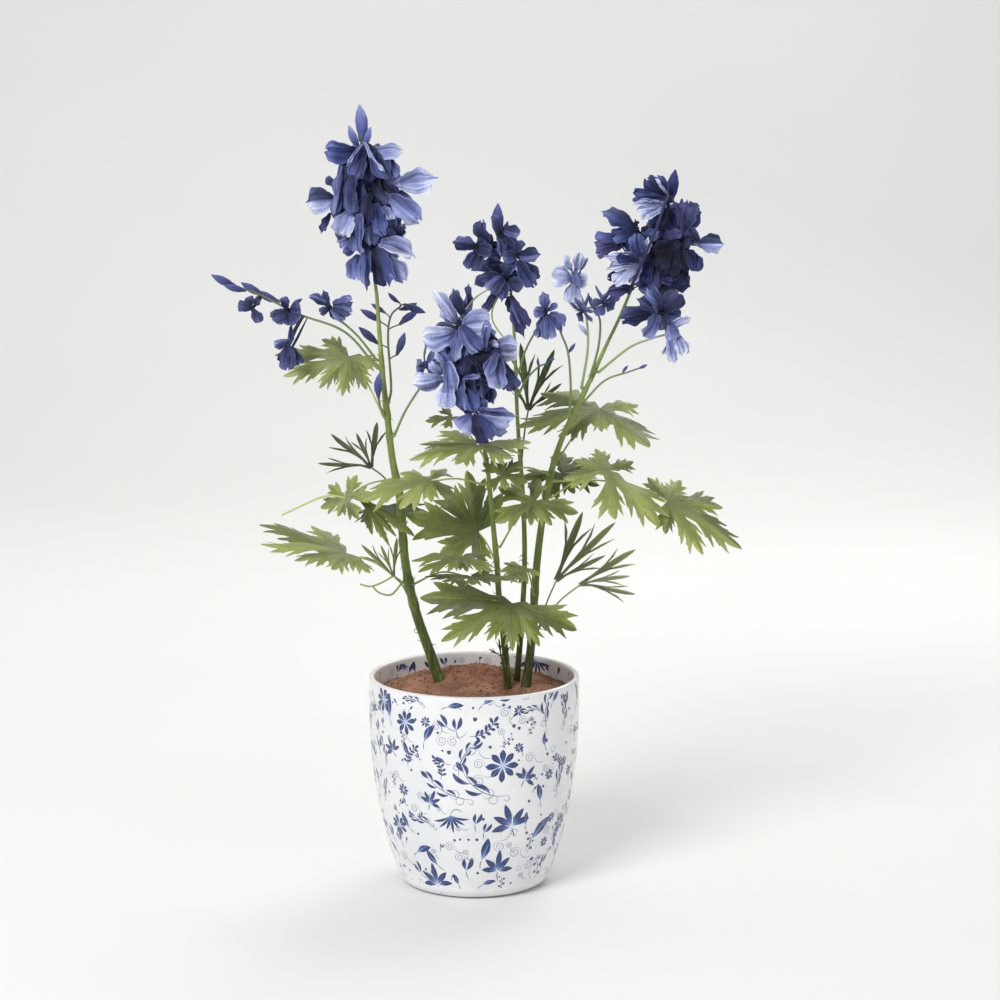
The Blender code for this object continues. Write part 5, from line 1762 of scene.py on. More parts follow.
@dataclass(frozen=True)
class Petal:
    """A petal: its root, its tip, half its width, its end, its hue on either side, and how far it leans."""

    x: float
    y: float
    z: float
    tip_x: float
    tip_y: float
    tip_z: float
    half: float
    end: End
    hue: Hue
    other: Hue | None = None
    lean: float = 0.0

    def colour(self, hue: Hue, along: float, across: float, stripe: float) -> Colour:
        """The colour at a place on the blade, darker along a mid stripe and paler at the margin."""
        root, middle, margin = hue.value
        stops = ((0.0, root), (0.22, blend(root, middle, 0.75)), (0.55, middle), (1.05, margin))
        colour = blend(along_stops(stops, along), margin, 0.6 * smooth(0.74, 1.0, across))
        band = math.exp(-((across / 0.16) ** 2)) * (1 - smooth(0.6, 1.0, along))
        return blend(colour, root, stripe * band)

    def sheet(self, anchor: Vector, extra: random.Random) -> Sheet:
        """The petal, on a narrow claw from its anchor.

        Args:
            anchor: the point that its claw grows from.
            extra: the draws for its tilt, curl, fold and ruffles.

        Returns:
            The surface, its face towards the front.
        """
        root, tip = in_metres([(self.x, self.y, self.z), (self.tip_x, self.tip_y, self.tip_z)])
        ahead = (tip - root).normalized()
        length = (tip - root).length
        front = VIEW - ahead * VIEW.dot(ahead)
        tilt, twist = math.radians(self.lean + extra.uniform(-24, 24)), math.radians(extra.uniform(-30, 30))
        curl, fold = extra.uniform(0.03, 0.16), extra.choice((-0.55, -0.4, 0.35, 0.5))
        wave, ruffle, stripe = extra.uniform(0, 6.3), extra.uniform(0.03, 0.07), extra.choice((0.1, 0.4, 0.8))
        notch, point = self.end.value
        sheet, rows = Sheet(), []
        claw = [-1.0, -0.66, -0.33]
        for along in claw + [k / PETAL_ROWS for k in range(PETAL_ROWS + 1)]:
            face = Matrix.Rotation(tilt + twist * max(along, 0.0), 3, ahead) @ front.normalized()
            side = ahead.cross(face)
            if along < 0:
                centre = root.lerp(anchor, -along) - face * 0.15 * length * math.sin(math.pi * -along)
                half = CLAW_HALF * MM * (1 + 0.5 * (1 + along))
            else:
                rise = curl * math.sin(math.pi * along) - 0.1 * along ** 3
                centre = root.lerp(tip, along) + face * length * rise
                half = level_at(BLADE_WIDTHS, along) * self.half * MM
                half *= 1.1 - point * 2 * smooth(0.76, 0.98, along)
            row = []
            for m in range(PETAL_COLUMNS + 1):
                share = 2 * m / PETAL_COLUMNS - 1
                late = smooth(0.78, 1.0, along)
                shift = -notch * math.exp(-((share / 0.22) ** 2)) * late
                shift += point * (1 - abs(share)) ** 2 * late
                shift -= (0.05 * abs(math.sin(4.5 * share + wave)) + 0.05 * share * share) * late
                lift = fold * (abs(share) - 0.4) * half
                lift += ruffle * length * share * share * math.sin(12 * along + wave) * max(along, 0.0)
                lift += 0.5 * ruffle * length * math.sin(6 * share + wave) * late
                lift += 0.012 * length * math.cos(14 * share + 2 * along) * smooth(0.1, 0.5, along)
                spot = centre + side * share * half + ahead * shift * length + face * lift
                crease = noise.noise(Vector((5 * share, 1.6 * along, 9 * wave)))
                spot += face * CRUMPLE * length * crease * smooth(0.0, 0.4, along)
                spot += side * CRUMPLE * length * noise.noise(Vector((wave, 4 * along, share))) * abs(share)
                hue = self.other if self.other and share > 0.01 else self.hue
                tint = self.colour(hue, along if along > 0 else 0.3, abs(share), stripe)
                # Painted light and shade: the colour is made lighter and darker with the crease noise that
                # crumples the petal, and with finer random streaks
                painted_shading = 1 + PAINTED_CREASE_SHADING * crease + 0.5 * PAINTED_CREASE_SHADING * noise.noise(Vector((14 * share, 2 * along, wave)))
                row.append(sheet.corner(spot, tuple(c * painted_shading for c in tint), (max(along, 0.0), share, 1.0)))
            rows.append(row)
        sheet.grid(rows)
        return sheet


VIEW = Vector((0, -1, 0.16))
PETAL_ROWS = 12
PETAL_COLUMNS = 12
CLAW_HALF = 1.1
CRUMPLE = 0.09
# How strongly the petals' creases are painted lighter and darker, a painted light and shade
PAINTED_CREASE_SHADING = 0.75
# Half the blade's width at a place along it, as a share of its greatest
BLADE_WIDTHS = ((0.0, 0.36), (0.12, 0.55), (0.30, 0.82), (0.50, 0.98), (0.66, 1.02), (0.80, 0.98),
                (0.90, 0.84), (0.96, 0.66), (1.0, 0.42))
# The photo's pixels to a millimetre at the plant
PIXELS_PER_MM = 1.405



def seen(column: float, row: float, back: float, tip_column: float, tip_row: float, tip_back: float,
         half: float, end: End, hue: Hue, other: Hue | None = None) -> Petal:
    """A petal that the photo shows.

    Args:
        column: the column of the pixel at its root.
        row: the row of that pixel.
        back: how far back its root lies, in millimetres.
        tip_column: the column of the pixel at its tip.
        tip_row: the row of that pixel.
        tip_back: how far back its tip lies, in millimetres.
        half: half its width, in pixels.
        end: how it ends.
        hue: its hue.
        other: the hue of its other side, where it has one of its own.

    Returns:
        The petal in millimetres.
    """
    wide = half / PIXELS_PER_MM
    root, tip = PHOTO.place(column, row, back), PHOTO.place(tip_column, tip_row, tip_back)
    return Petal(*root, *tip, round(wide, 0 if wide >= 4 else 1), end, hue, other)


ROUND, NOTCHED, POINTED = End
WHITE, PALE, LILAC, BLUE, SLATE, VIOLET, INDIGO, NAVY, BLACK = Hue

# The petals that the photo shows, by spray. Their depths are guesses
PETALS = {
    "spray_left": (
        seen(355, 152, -20, 324, 151, -27, 10, NOTCHED, BLUE),
        seen(372, 151, -20, 403, 149, -27, 10.5, NOTCHED, PALE),
        seen(399, 183, -22, 435, 180, -27, 11.5, POINTED, PALE, WHITE),
        seen(389, 195, -24, 421, 222, -31, 10.5, NOTCHED, LILAC, PALE),
        seen(333, 200, -22, 307, 203, -25, 12, POINTED, WHITE, SLATE),
        seen(350, 211, -26, 339, 236, -33, 10.5, NOTCHED, WHITE, PALE),
        seen(343, 166, -24, 335, 216, -29, 5.5, ROUND, SLATE, LILAC),
        seen(331, 214, -14, 320, 232, -14, 3.5, POINTED, VIOLET),
        seen(336, 186, -8, 325, 178, -8, 4, ROUND, SLATE),
        seen(364, 143, -22, 352, 180, -31, 7, ROUND, SLATE, BLUE),
        seen(366, 144, -22, 371, 182, -27, 9.5, ROUND, NAVY),
        seen(370, 148, -20, 388, 179, -26, 8, ROUND, SLATE, BLUE),
        seen(388, 160, -18, 396, 178, -23, 7, ROUND, LILAC, SLATE),
        seen(352, 172, -27, 348, 216, -33, 7.5, ROUND, SLATE, BLUE),
        seen(369, 194, -24, 361, 228, -31, 10, NOTCHED, NAVY, SLATE),
        seen(378, 180, -18, 399, 203, -25, 9, ROUND, NAVY, SLATE),
        seen(376, 203, -28, 382, 237, -35, 7.5, NOTCHED, BLUE),
        seen(360, 213, -31, 359, 256, -37, 4.5, NOTCHED, LILAC),
        seen(384, 206, -26, 391, 219, -31, 4.5, NOTCHED, PALE),
        seen(364, 142, -27, 383, 172, -33, 1.2, ROUND, WHITE),
        seen(364, 142, -27, 346, 166, -31, 1.2, ROUND, PALE),
        seen(357, 241, -24, 341, 250, -29, 9, NOTCHED, BLUE, LILAC),
        seen(359, 254, -28, 354, 281, -31, 9, NOTCHED, LILAC),
        seen(366, 250, -30, 366, 287, -36, 4, POINTED, BLUE, LILAC),
        seen(376, 247, -28, 386, 287, -35, 10, NOTCHED, BLUE, NAVY),
        seen(386, 256, -26, 406, 282, -29, 9, NOTCHED, PALE, LILAC),
        seen(379, 243, -28, 414, 253, -31, 10.5, POINTED, PALE, WHITE),
        seen(392, 238, -6, 404, 228, -6, 6, ROUND, SLATE),
        seen(362, 240, -28, 368, 264, -34, 4.5, ROUND, NAVY, BLUE),
        seen(346, 158, -19, 347, 200, -25, 8, ROUND, SLATE, BLUE),
        seen(357, 148, -18, 343, 176, -22, 7, ROUND, BLUE, SLATE),
        seen(377, 150, -16, 386, 186, -20, 9, ROUND, SLATE, NAVY),
        seen(358, 176, -20, 356, 216, -26, 9, NOTCHED, BLUE, NAVY),
        seen(371, 170, -14, 370, 212, -24, 12, NOTCHED, NAVY, BLACK),
        seen(386, 184, -16, 388, 214, -22, 9, NOTCHED, SLATE, LILAC),
        seen(399, 190, -16, 405, 212, -20, 7, ROUND, LILAC, SLATE),
        seen(343, 196, -18, 341, 224, -22, 7, POINTED, SLATE, LILAC),
        seen(372, 214, -24, 371, 246, -31, 7, NOTCHED, SLATE, LILAC),
        seen(359, 226, -28, 352, 252, -31, 6, ROUND, LILAC, SLATE),
        seen(376, 232, -24, 392, 250, -26, 7, ROUND, BLUE),
    ),
    "spray_middle": (
        seen(457, 321, -56, 437, 291, -62, 6.5, POINTED, WHITE, PALE),
        seen(455, 323, -52, 440, 311, -55, 4, NOTCHED, PALE),
        seen(453, 334, -58, 423, 340, -63, 11, NOTCHED, PALE, WHITE),
        seen(463, 325, -62, 490, 321, -66, 13.5, NOTCHED, PALE, WHITE),
        seen(483, 350, -65, 487, 320, -68, 4, ROUND, LILAC),
        seen(461, 326, -64, 478, 353, -70, 9, NOTCHED, BLUE, LILAC),
        seen(458, 331, -60, 454, 362, -65, 5.5, ROUND, PALE, LILAC),
        seen(463, 314, -44, 453, 290, -44, 5.5, POINTED, SLATE),
        seen(469, 309, -42, 468, 286, -42, 3, POINTED, SLATE),
        seen(478, 362, -58, 499, 350, -65, 6.5, POINTED, NAVY),
        seen(475, 352, -60, 464, 377, -67, 9, NOTCHED, NAVY),
        seen(480, 366, -60, 485, 398, -67, 4.5, POINTED, NAVY, SLATE),
        seen(476, 349, -60, 491, 345, -67, 5, POINTED, BLACK),
        seen(470, 350, -60, 487, 373, -65, 9, NOTCHED, BLACK, NAVY),
        seen(493, 349, -56, 519, 350, -60, 12, NOTCHED, PALE, WHITE),
        seen(488, 346, -58, 498, 343, -63, 4, NOTCHED, PALE),
        seen(499, 361, -60, 517, 391, -60, 7.5, ROUND, SLATE, VIOLET),
        seen(497, 358, -66, 500, 390, -71, 9.5, NOTCHED, LILAC, PALE),
        seen(498, 353, -70, 486, 377, -73, 5.5, POINTED, LILAC),
        seen(451, 372, -58, 434, 346, -63, 6, NOTCHED, PALE, LILAC),
        seen(442, 374, -56, 428, 362, -57, 4, NOTCHED, PALE),
        seen(441, 381, -58, 414, 385, -61, 10.5, POINTED, PALE, WHITE),
        seen(448, 361, -66, 452, 397, -71, 7.5, ROUND, PALE, LILAC),
        seen(449, 385, -68, 446, 410, -73, 10, NOTCHED, PALE, WHITE),
        seen(461, 380, -66, 463, 412, -71, 5.5, NOTCHED, LILAC, BLUE),
        seen(464, 388, -64, 475, 411, -69, 6.5, ROUND, BLUE),
        seen(462, 379, -72, 480, 376, -75, 2.5, ROUND, LILAC),
        seen(475, 416, -68, 459, 430, -73, 9.5, ROUND, PALE, LILAC),
        seen(474, 415, -72, 491, 443, -77, 10, NOTCHED, BLUE, NAVY),
        seen(480, 420, -68, 509, 431, -71, 9.5, NOTCHED, PALE, LILAC),
        seen(479, 412, -66, 514, 417, -69, 8, POINTED, LILAC, PALE),
        seen(481, 412, -62, 481, 398, -62, 5.5, ROUND, LILAC),
        seen(462, 330, -56, 466, 368, -62, 7, ROUND, LILAC, BLUE),
        seen(470, 330, -52, 480, 352, -56, 8, ROUND, SLATE, LILAC),
        seen(456, 350, -54, 460, 388, -60, 8, ROUND, BLUE, LILAC),
        seen(468, 372, -58, 472, 404, -63, 7, POINTED, SLATE, NAVY),
        seen(482, 376, -56, 488, 404, -60, 6, ROUND, NAVY, SLATE),
        seen(449, 345, -52, 445, 372, -56, 6, NOTCHED, LILAC),
        seen(488, 332, -50, 496, 352, -54, 6, ROUND, SLATE),
    ),
    "spray_right": (
        seen(666, 199, -12, 632, 200, -20, 4.5, ROUND, BLUE),
        seen(664, 197, -12, 634, 191, -18, 6.5, NOTCHED, INDIGO),
        seen(664, 195, -10, 645, 178, -15, 7.5, NOTCHED, INDIGO, NAVY),
        seen(666, 194, -8, 657, 176, -11, 5.5, NOTCHED, BLUE),
        seen(667, 193, -12, 656, 178, -16, 1.4, ROUND, WHITE),
        seen(665, 203, -15, 632, 202, -23, 3.5, NOTCHED, WHITE),
        seen(665, 204, -16, 637, 208, -24, 4, NOTCHED, WHITE),
        seen(664, 205, -17, 642, 218, -25, 4.5, NOTCHED, WHITE, PALE),
        seen(664, 206, -10, 659, 227, -15, 5.5, NOTCHED, NAVY),
        seen(683, 210, -6, 700, 208, -11, 6, NOTCHED, SLATE, VIOLET),
        seen(684, 231, -8, 690, 200, -11, 8.5, NOTCHED, VIOLET, SLATE),
        seen(633, 226, -14, 604, 211, -19, 8, POINTED, BLUE, SLATE),
        seen(634, 229, -14, 612, 237, -19, 7, NOTCHED, BLUE, INDIGO),
        seen(622, 241, -12, 594, 241, -15, 8, NOTCHED, VIOLET, BLUE),
        seen(621, 245, -12, 595, 254, -15, 5.5, NOTCHED, VIOLET),
        seen(642, 258, -18, 607, 257, -25, 6, POINTED, WHITE),
        seen(642, 261, -19, 609, 268, -26, 6, POINTED, WHITE, PALE),
        seen(641, 263, -18, 612, 282, -25, 6.5, NOTCHED, WHITE),
        seen(644, 256, -18, 648, 239, -23, 4, POINTED, WHITE),
        seen(643, 255, -17, 639, 237, -21, 4.5, NOTCHED, PALE),
        seen(639, 260, -24, 616, 258, -31, 4.2, ROUND, INDIGO),
        seen(642, 264, -16, 628, 284, -19, 5, NOTCHED, PALE, LILAC),
        seen(641, 257, -20, 635, 234, -25, 6.5, NOTCHED, BLUE),
        seen(638, 252, -18, 629, 237, -21, 5, POINTED, INDIGO),
        seen(641, 235, -14, 658, 235, -21, 5.5, NOTCHED, BLUE, SLATE),
        seen(662, 236, -12, 682, 233, -15, 4.5, NOTCHED, VIOLET),
        seen(676, 243, -8, 652, 250, -17, 9, NOTCHED, BLACK, NAVY),
        seen(676, 246, -8, 668, 281, -15, 9, NOTCHED, BLACK),
        seen(678, 246, -6, 690, 272, -13, 9, NOTCHED, NAVY, BLACK),
        seen(676, 244, -6, 691, 239, -11, 7, NOTCHED, NAVY),
        seen(668, 250, -12, 658, 268, -18, 8, NOTCHED, BLACK),
        seen(691, 251, -8, 700, 272, -13, 7.5, ROUND, INDIGO),
        seen(698, 243, -8, 723, 244, -13, 8.5, POINTED, SLATE, PALE),
        seen(699, 243, -4, 686, 228, -7, 6, NOTCHED, SLATE),
        seen(659, 267, -8, 656, 292, -13, 7, NOTCHED, VIOLET, SLATE),
        seen(636, 272, -12, 606, 280, -15, 6, NOTCHED, NAVY),
        seen(634, 287, -10, 605, 294, -13, 5.5, NOTCHED, VIOLET),
        seen(648, 250, -8, 655, 280, -10, 8, NOTCHED, NAVY),
        seen(660, 311, -14, 649, 287, -21, 6.5, NOTCHED, LILAC, SLATE),
        seen(662, 311, -12, 681, 293, -17, 9.5, NOTCHED, SLATE, NAVY),
        seen(663, 313, -12, 679, 321, -17, 9.5, NOTCHED, SLATE),
        seen(657, 314, -16, 646, 338, -23, 6.5, ROUND, LILAC),
        seen(657, 311, -10, 620, 320, -13, 8, NOTCHED, NAVY, SLATE),
        seen(660, 315, -14, 667, 329, -19, 7, NOTCHED, SLATE),
        seen(658, 309, -16, 639, 299, -21, 6, POINTED, SLATE, BLUE),
        seen(665, 206, -4, 672, 232, -8, 7, ROUND, INDIGO, SLATE),
        seen(645, 226, -8, 652, 248, -12, 7, NOTCHED, NAVY, INDIGO),
        seen(650, 262, -8, 640, 284, -12, 7, NOTCHED, INDIGO, NAVY),
        seen(662, 284, -6, 664, 306, -10, 7, ROUND, NAVY, SLATE),
        seen(675, 214, -4, 668, 236, -8, 6, POINTED, SLATE, VIOLET),
        seen(686, 262, -4, 676, 286, -8, 7, NOTCHED, NAVY, INDIGO),
    ),
    "spray_back": (
        seen(487, 243, 44, 480, 220, 41, 6.5, NOTCHED, SLATE, BLUE),
        seen(502, 229, 46, 521, 232, 43, 5.5, ROUND, SLATE, LILAC),
        seen(503, 234, 46, 516, 245, 44, 4.5, ROUND, SLATE),
        seen(475, 246, 38, 454, 242, 35, 7, POINTED, SLATE, LILAC),
        seen(478, 250, 36, 469, 270, 32, 8.5, NOTCHED, SLATE, BLUE),
        seen(477, 248, 36, 491, 254, 33, 7.5, NOTCHED, SLATE),
        seen(479, 246, 38, 484, 239, 38, 4.5, ROUND, SLATE),
        seen(517, 255, 40, 539, 254, 37, 7, POINTED, SLATE, LILAC),
        seen(516, 256, 38, 502, 257, 35, 6, NOTCHED, BLUE, SLATE),
        seen(517, 254, 42, 522, 240, 42, 4.5, ROUND, SLATE),
        seen(518, 260, 36, 535, 289, 34, 7.5, NOTCHED, SLATE, BLUE),
        seen(520, 262, 38, 540, 279, 37, 5, ROUND, SLATE),
        seen(515, 259, 38, 510, 274, 35, 6, NOTCHED, BLUE, SLATE),
        seen(503, 276, 38, 478, 278, 35, 5, POINTED, VIOLET, SLATE),
        seen(504, 278, 36, 502, 300, 31, 6, POINTED, BLUE, SLATE),
        seen(502, 278, 35, 488, 292, 31, 8, NOTCHED, SLATE, LILAC),
        seen(508, 281, 38, 523, 287, 35, 7.5, ROUND, SLATE),
        seen(507, 277, 38, 510, 262, 37, 5, ROUND, SLATE),
        seen(496, 290, 40, 484, 314, 38, 4.5, POINTED, VIOLET, SLATE),
        seen(510, 297, 40, 527, 330, 36, 6.5, NOTCHED, VIOLET, LILAC),
        seen(512, 303, 41, 523, 336, 38, 5, POINTED, VIOLET),
        seen(508, 296, 42, 511, 313, 41, 3.5, POINTED, SLATE),
        seen(499, 232, 42, 494, 214, 40, 4, POINTED, VIOLET),
        seen(500, 238, 40, 502, 256, 37, 4, ROUND, VIOLET, LILAC),
    ),
    "flower_back": (
        seen(546, 311, 30, 544, 293, 28, 5, POINTED, LILAC),
        seen(545, 312, 28, 533, 311, 25, 5.5, ROUND, LILAC),
        seen(548, 311, 30, 557, 303, 29, 3, ROUND, LILAC),
        seen(549, 314, 26, 565, 327, 23, 6.5, NOTCHED, LILAC, BLUE),
        seen(546, 316, 26, 549, 340, 21, 7, NOTCHED, LILAC),
        seen(543, 316, 27, 538, 338, 24, 6, NOTCHED, BLUE, LILAC),
    ),
    "flower_right_light": (
        seen(570, 278, -8, 551, 275, -11, 9.5, ROUND, WHITE),
        seen(574, 284, -9, 571, 304, -13, 9, NOTCHED, WHITE),
        seen(578, 280, -8, 588, 281, -11, 6.5, NOTCHED, WHITE),
        seen(576, 271, -6, 580, 253, -9, 5, NOTCHED, WHITE),
        seen(572, 271, -6, 565, 255, -9, 3.2, ROUND, WHITE),
        seen(580, 270, -4, 587, 257, -5, 2, ROUND, WHITE, PALE),
        seen(573, 271, -13, 577, 286, -16, 3.8, ROUND, LILAC),
    ),
    "spray_left_side": (
        seen(252, 307, 0, 238, 305, -3, 5.5, ROUND, SLATE),
        seen(253, 309, 0, 260, 322, -4, 5, ROUND, SLATE, VIOLET),
        seen(251, 304, 1, 246, 297, 0, 5, ROUND, SLATE),
        seen(254, 305, 2, 259, 300, 1, 3.5, NOTCHED, SLATE),
        seen(286, 311, -2, 270, 319, -6, 6, NOTCHED, SLATE),
        seen(287, 308, -1, 281, 297, -2, 5, NOTCHED, SLATE, VIOLET),
        seen(289, 310, -1, 301, 309, -3, 6.5, ROUND, SLATE, BLUE),
        seen(288, 313, -2, 291, 326, -7, 6.5, NOTCHED, SLATE),
        seen(284, 312, -3, 278, 324, -7, 4, NOTCHED, SLATE, BLUE),
        seen(291, 327, -2, 289, 345, -6, 2.6, ROUND, VIOLET),
        seen(289, 341, -6, 273, 346, -9, 4.5, NOTCHED, SLATE, LILAC),
        seen(287, 345, -8, 288, 371, -14, 7.5, NOTCHED, SLATE, BLUE),
        seen(291, 348, -6, 301, 364, -9, 5.5, NOTCHED, SLATE),
        seen(284, 351, -7, 281, 362, -10, 4, ROUND, SLATE, NAVY),
    ),
    "spray_left_single": (
        seen(328, 305, -18, 309, 295, -22, 4.5, NOTCHED, SLATE, LILAC),
        seen(329, 304, -17, 324, 291, -18, 3.2, POINTED, SLATE),
        seen(332, 304, -19, 352, 300, -24, 5.5, NOTCHED, LILAC, SLATE),
        seen(332, 308, -20, 353, 312, -25, 5.5, NOTCHED, LILAC, SLATE),
        seen(331, 309, -20, 346, 319, -24, 4.5, ROUND, SLATE, LILAC),
        seen(328, 308, -19, 320, 313, -21, 4, NOTCHED, SLATE),
    ),
    "flower_right_hanging": (
        seen(669, 327, -14, 690, 317, -18, 3.4, NOTCHED, WHITE),
        seen(666, 331, -14, 684, 320, -18, 4, ROUND, WHITE),
        seen(671, 326, -18, 675, 346, -22, 6.5, ROUND, WHITE, PALE),
        seen(673, 325, -24, 676, 338, -26, 4.6, ROUND, LILAC),
        seen(669, 338, -20, 674, 363, -27, 4.8, ROUND, PALE, WHITE),
        seen(669, 345, -19, 663, 354, -22, 2.6, POINTED, PALE),
        seen(677, 336, -20, 685, 354, -26, 5.6, NOTCHED, WHITE),
        seen(682, 341, -19, 690, 348, -22, 2.6, ROUND, WHITE),
        seen(667, 323, -14, 664, 330, -15, 3.2, ROUND, PALE),
    ),
}


@dataclass(frozen=True)
class Heart:
    """The middle of a flower: its pixel, how far back it lies, its size in millimetres, and its hue."""

    column: float
    row: float
    back: float
    size: float
    hue: Hue


# The dark hearts of those flowers, by spray: partly their own dark eyes, partly painted shade in their deep
# middles
HEARTS = {
    "spray_left": (Heart(370, 189, -17, 9, BLACK), Heart(366, 243, -22, 6, NAVY),),
    "spray_middle": (
        Heart(459, 325, -58, 5, NAVY), Heart(478, 360, -58, 7, BLACK), Heart(447, 378, -60, 5, NAVY),
        Heart(476, 413, -66, 4, BLUE),
    ),
    "spray_right": (
        Heart(667, 200, -8, 5, NAVY), Heart(636, 226, -12, 6, NAVY), Heart(643, 260, -17, 4, INDIGO),
        Heart(676, 244, -6, 8, BLACK), Heart(659, 311, -12, 6, NAVY),
    ),
    "spray_back": (
        Heart(477, 248, 38, 5, NAVY), Heart(517, 256, 40, 5, NAVY), Heart(504, 277, 38, 4, NAVY),
        Heart(500, 232, 44, 4, NAVY),
    ),
    "flower_back": (Heart(546, 313, 29, 4.5, NAVY),),
    "flower_right_light": (Heart(574, 276, -8, 3.5, LILAC),),
    "spray_left_side": (
        Heart(251, 306, 1, 3, NAVY), Heart(286, 310, -1, 4, NAVY), Heart(289, 343, -4, 3, NAVY),
    ),
    "spray_left_single": (Heart(329, 306, -17, 4, NAVY),),
}


@dataclass(frozen=True)
class Stalk:
    """A slim stalk among the flowers: its line, its radius and its colour."""

    line: tuple[Triple, ...]
    radius: float
    colour: Colour

    def reach(self, share: float) -> float:
        """Its radius in metres at a share of its line."""
        return self.radius * (1.1 - 0.3 * share) * MM

    def tint(self, share: float) -> Colour:
        """Its colour at a share of its line."""
        return tuple(part * (0.7 + 0.4 * share) for part in self.colour)


@dataclass(frozen=True)
class Tangle:
    """The crumpled inner petals round the axis of a raceme: its ends, their number, reach and hues."""

    low: Triple
    high: Triple
    count: int
    reach: float
    hues: tuple[Hue, ...]

    def petals(self, extra: random.Random) -> list[Petal]:
        """Petals on all sides of the axis, each with a hue of its own."""
        made = []
        for k in range(self.count):
            share = (k + extra.random()) / self.count
            x, y, z = (a + (b - a) * share for a, b in zip(self.low, self.high))
            angle = extra.uniform(0, 2 * math.pi)
            right, up = math.cos(angle), 0.85 * math.sin(angle)
            reach, depth = self.reach * extra.uniform(0.75, 1.15), extra.uniform(-4, 10)
            root = (x + 3 * right, y + depth, z + 3 * up)
            tip = (x + reach * right, y + depth + extra.uniform(-8, 6), z + reach * up)
            half, end = extra.uniform(0.36, 0.5) * self.reach, extra.choice((ROUND, NOTCHED))
            hue, other = extra.choice(self.hues), extra.choice(self.hues)
            made.append(Petal(*root, *tip, half, end, hue, other, extra.uniform(-65, 65)))
        return made


# The crumpled inner petals, by spray. The second, smaller tangles are dark, a painted shade in the raceme's
# deep core
TANGLES = {
    "spray_left": (
        Tangle(PHOTO.place(366, 150, -14), PHOTO.place(376, 242, -22), 32, 16, (SLATE, BLUE, NAVY, LILAC)),
    ),
    "spray_middle": (
        Tangle(PHOTO.place(462, 330, -50), PHOTO.place(468, 402, -60), 28, 16, (SLATE, BLUE, LILAC, PALE)),
        Tangle(PHOTO.place(482, 345, -52), PHOTO.place(482, 376, -58), 8, 12, (NAVY, SLATE, BLACK)),
    ),
    "spray_right": (
        Tangle(PHOTO.place(668, 212, -2), PHOTO.place(652, 284, -8), 30, 15, (NAVY, INDIGO, SLATE, VIOLET)),
        Tangle(PHOTO.place(640, 236, -8), PHOTO.place(636, 278, -12), 8, 12, (NAVY, SLATE)),
    ),
    "spray_back": (
        Tangle(PHOTO.place(490, 240, 44), PHOTO.place(510, 282, 38), 16, 10, (SLATE, NAVY, BLUE)),
    ),
}

# Slim stalks among the flowers, by spray
STALKS = {
    "spray_right": (
        Stalk((PHOTO.place(629, 294, -14), PHOTO.place(640, 268, -24), PHOTO.place(655, 232, -30),
              PHOTO.place(664, 208, -26), PHOTO.place(668, 194, -14)),
              1.1, ink("2b3058")),
        Stalk((PHOTO.place(671, 196, -14), PHOTO.place(678, 214, -18), PHOTO.place(682, 232, -14)),
              0.7, ink("31365f")),
    ),
    "spray_middle": (
        Stalk((PHOTO.place(465, 309, -46), PHOTO.place(476, 298, -44), PHOTO.place(488, 290, -40)),
              0.6, ink("8f9c78")),
    ),
    "spray_back": (
        Stalk((PHOTO.place(498, 297, 38), PHOTO.place(492, 310, 34), PHOTO.place(494, 324, 28),
              PHOTO.place(506, 342, 20)),
              0.6, ink("8f9c66")),
    ),
}


def flower_tone(codes: str) -> PetalTone:
    """A flower's colours from their screen codes, in the order of PetalTone's fields."""
    return PetalTone(*map(ink, codes.split()))


class Variety(Enum):
    """The colour ways of the flowers."""

    PALE = flower_tone("15173c 3a437f 6a75b2 98a2d2 c0c8e8 2f3775 aab3da 8a9d58")
    LIGHT = flower_tone("2a2f60 7f8cc8 b5bfe8 d5dbf6 eef0fc 6a77b8 d5daf2 9db06a")
    BLUE = flower_tone("13163a 30386f 4a548f 6a75ac 8c97c8 262c62 8791bd 76874f")
    DUSK = flower_tone("15183a 2c3361 434c82 5d689c 7a85b5 232850 6c76a8 67744f")
    DARK = flower_tone("090a20 181b4a 2b306c 434a8c 6a74ae 11143f 7d88be 76835a")


VARIETIES = {
    "spray_left": Variety.PALE, "spray_middle": Variety.PALE, "spray_back": Variety.BLUE,
    "spray_right": Variety.DARK, "flower_right_light": Variety.LIGHT, "flower_right_hanging": Variety.LIGHT,
    "spray_left_side": Variety.DUSK, "spray_left_single": Variety.BLUE, "spray_left_buds": Variety.DUSK,
    "spray_right_side": Variety.DUSK,
}
PETAL_SLOTS = {Variety.PALE: "petal_pale", Variety.LIGHT: "petal_pale", Variety.BLUE: "petal_blue",
               Variety.DUSK: "petal_blue", Variety.DARK: "petal_dark"}


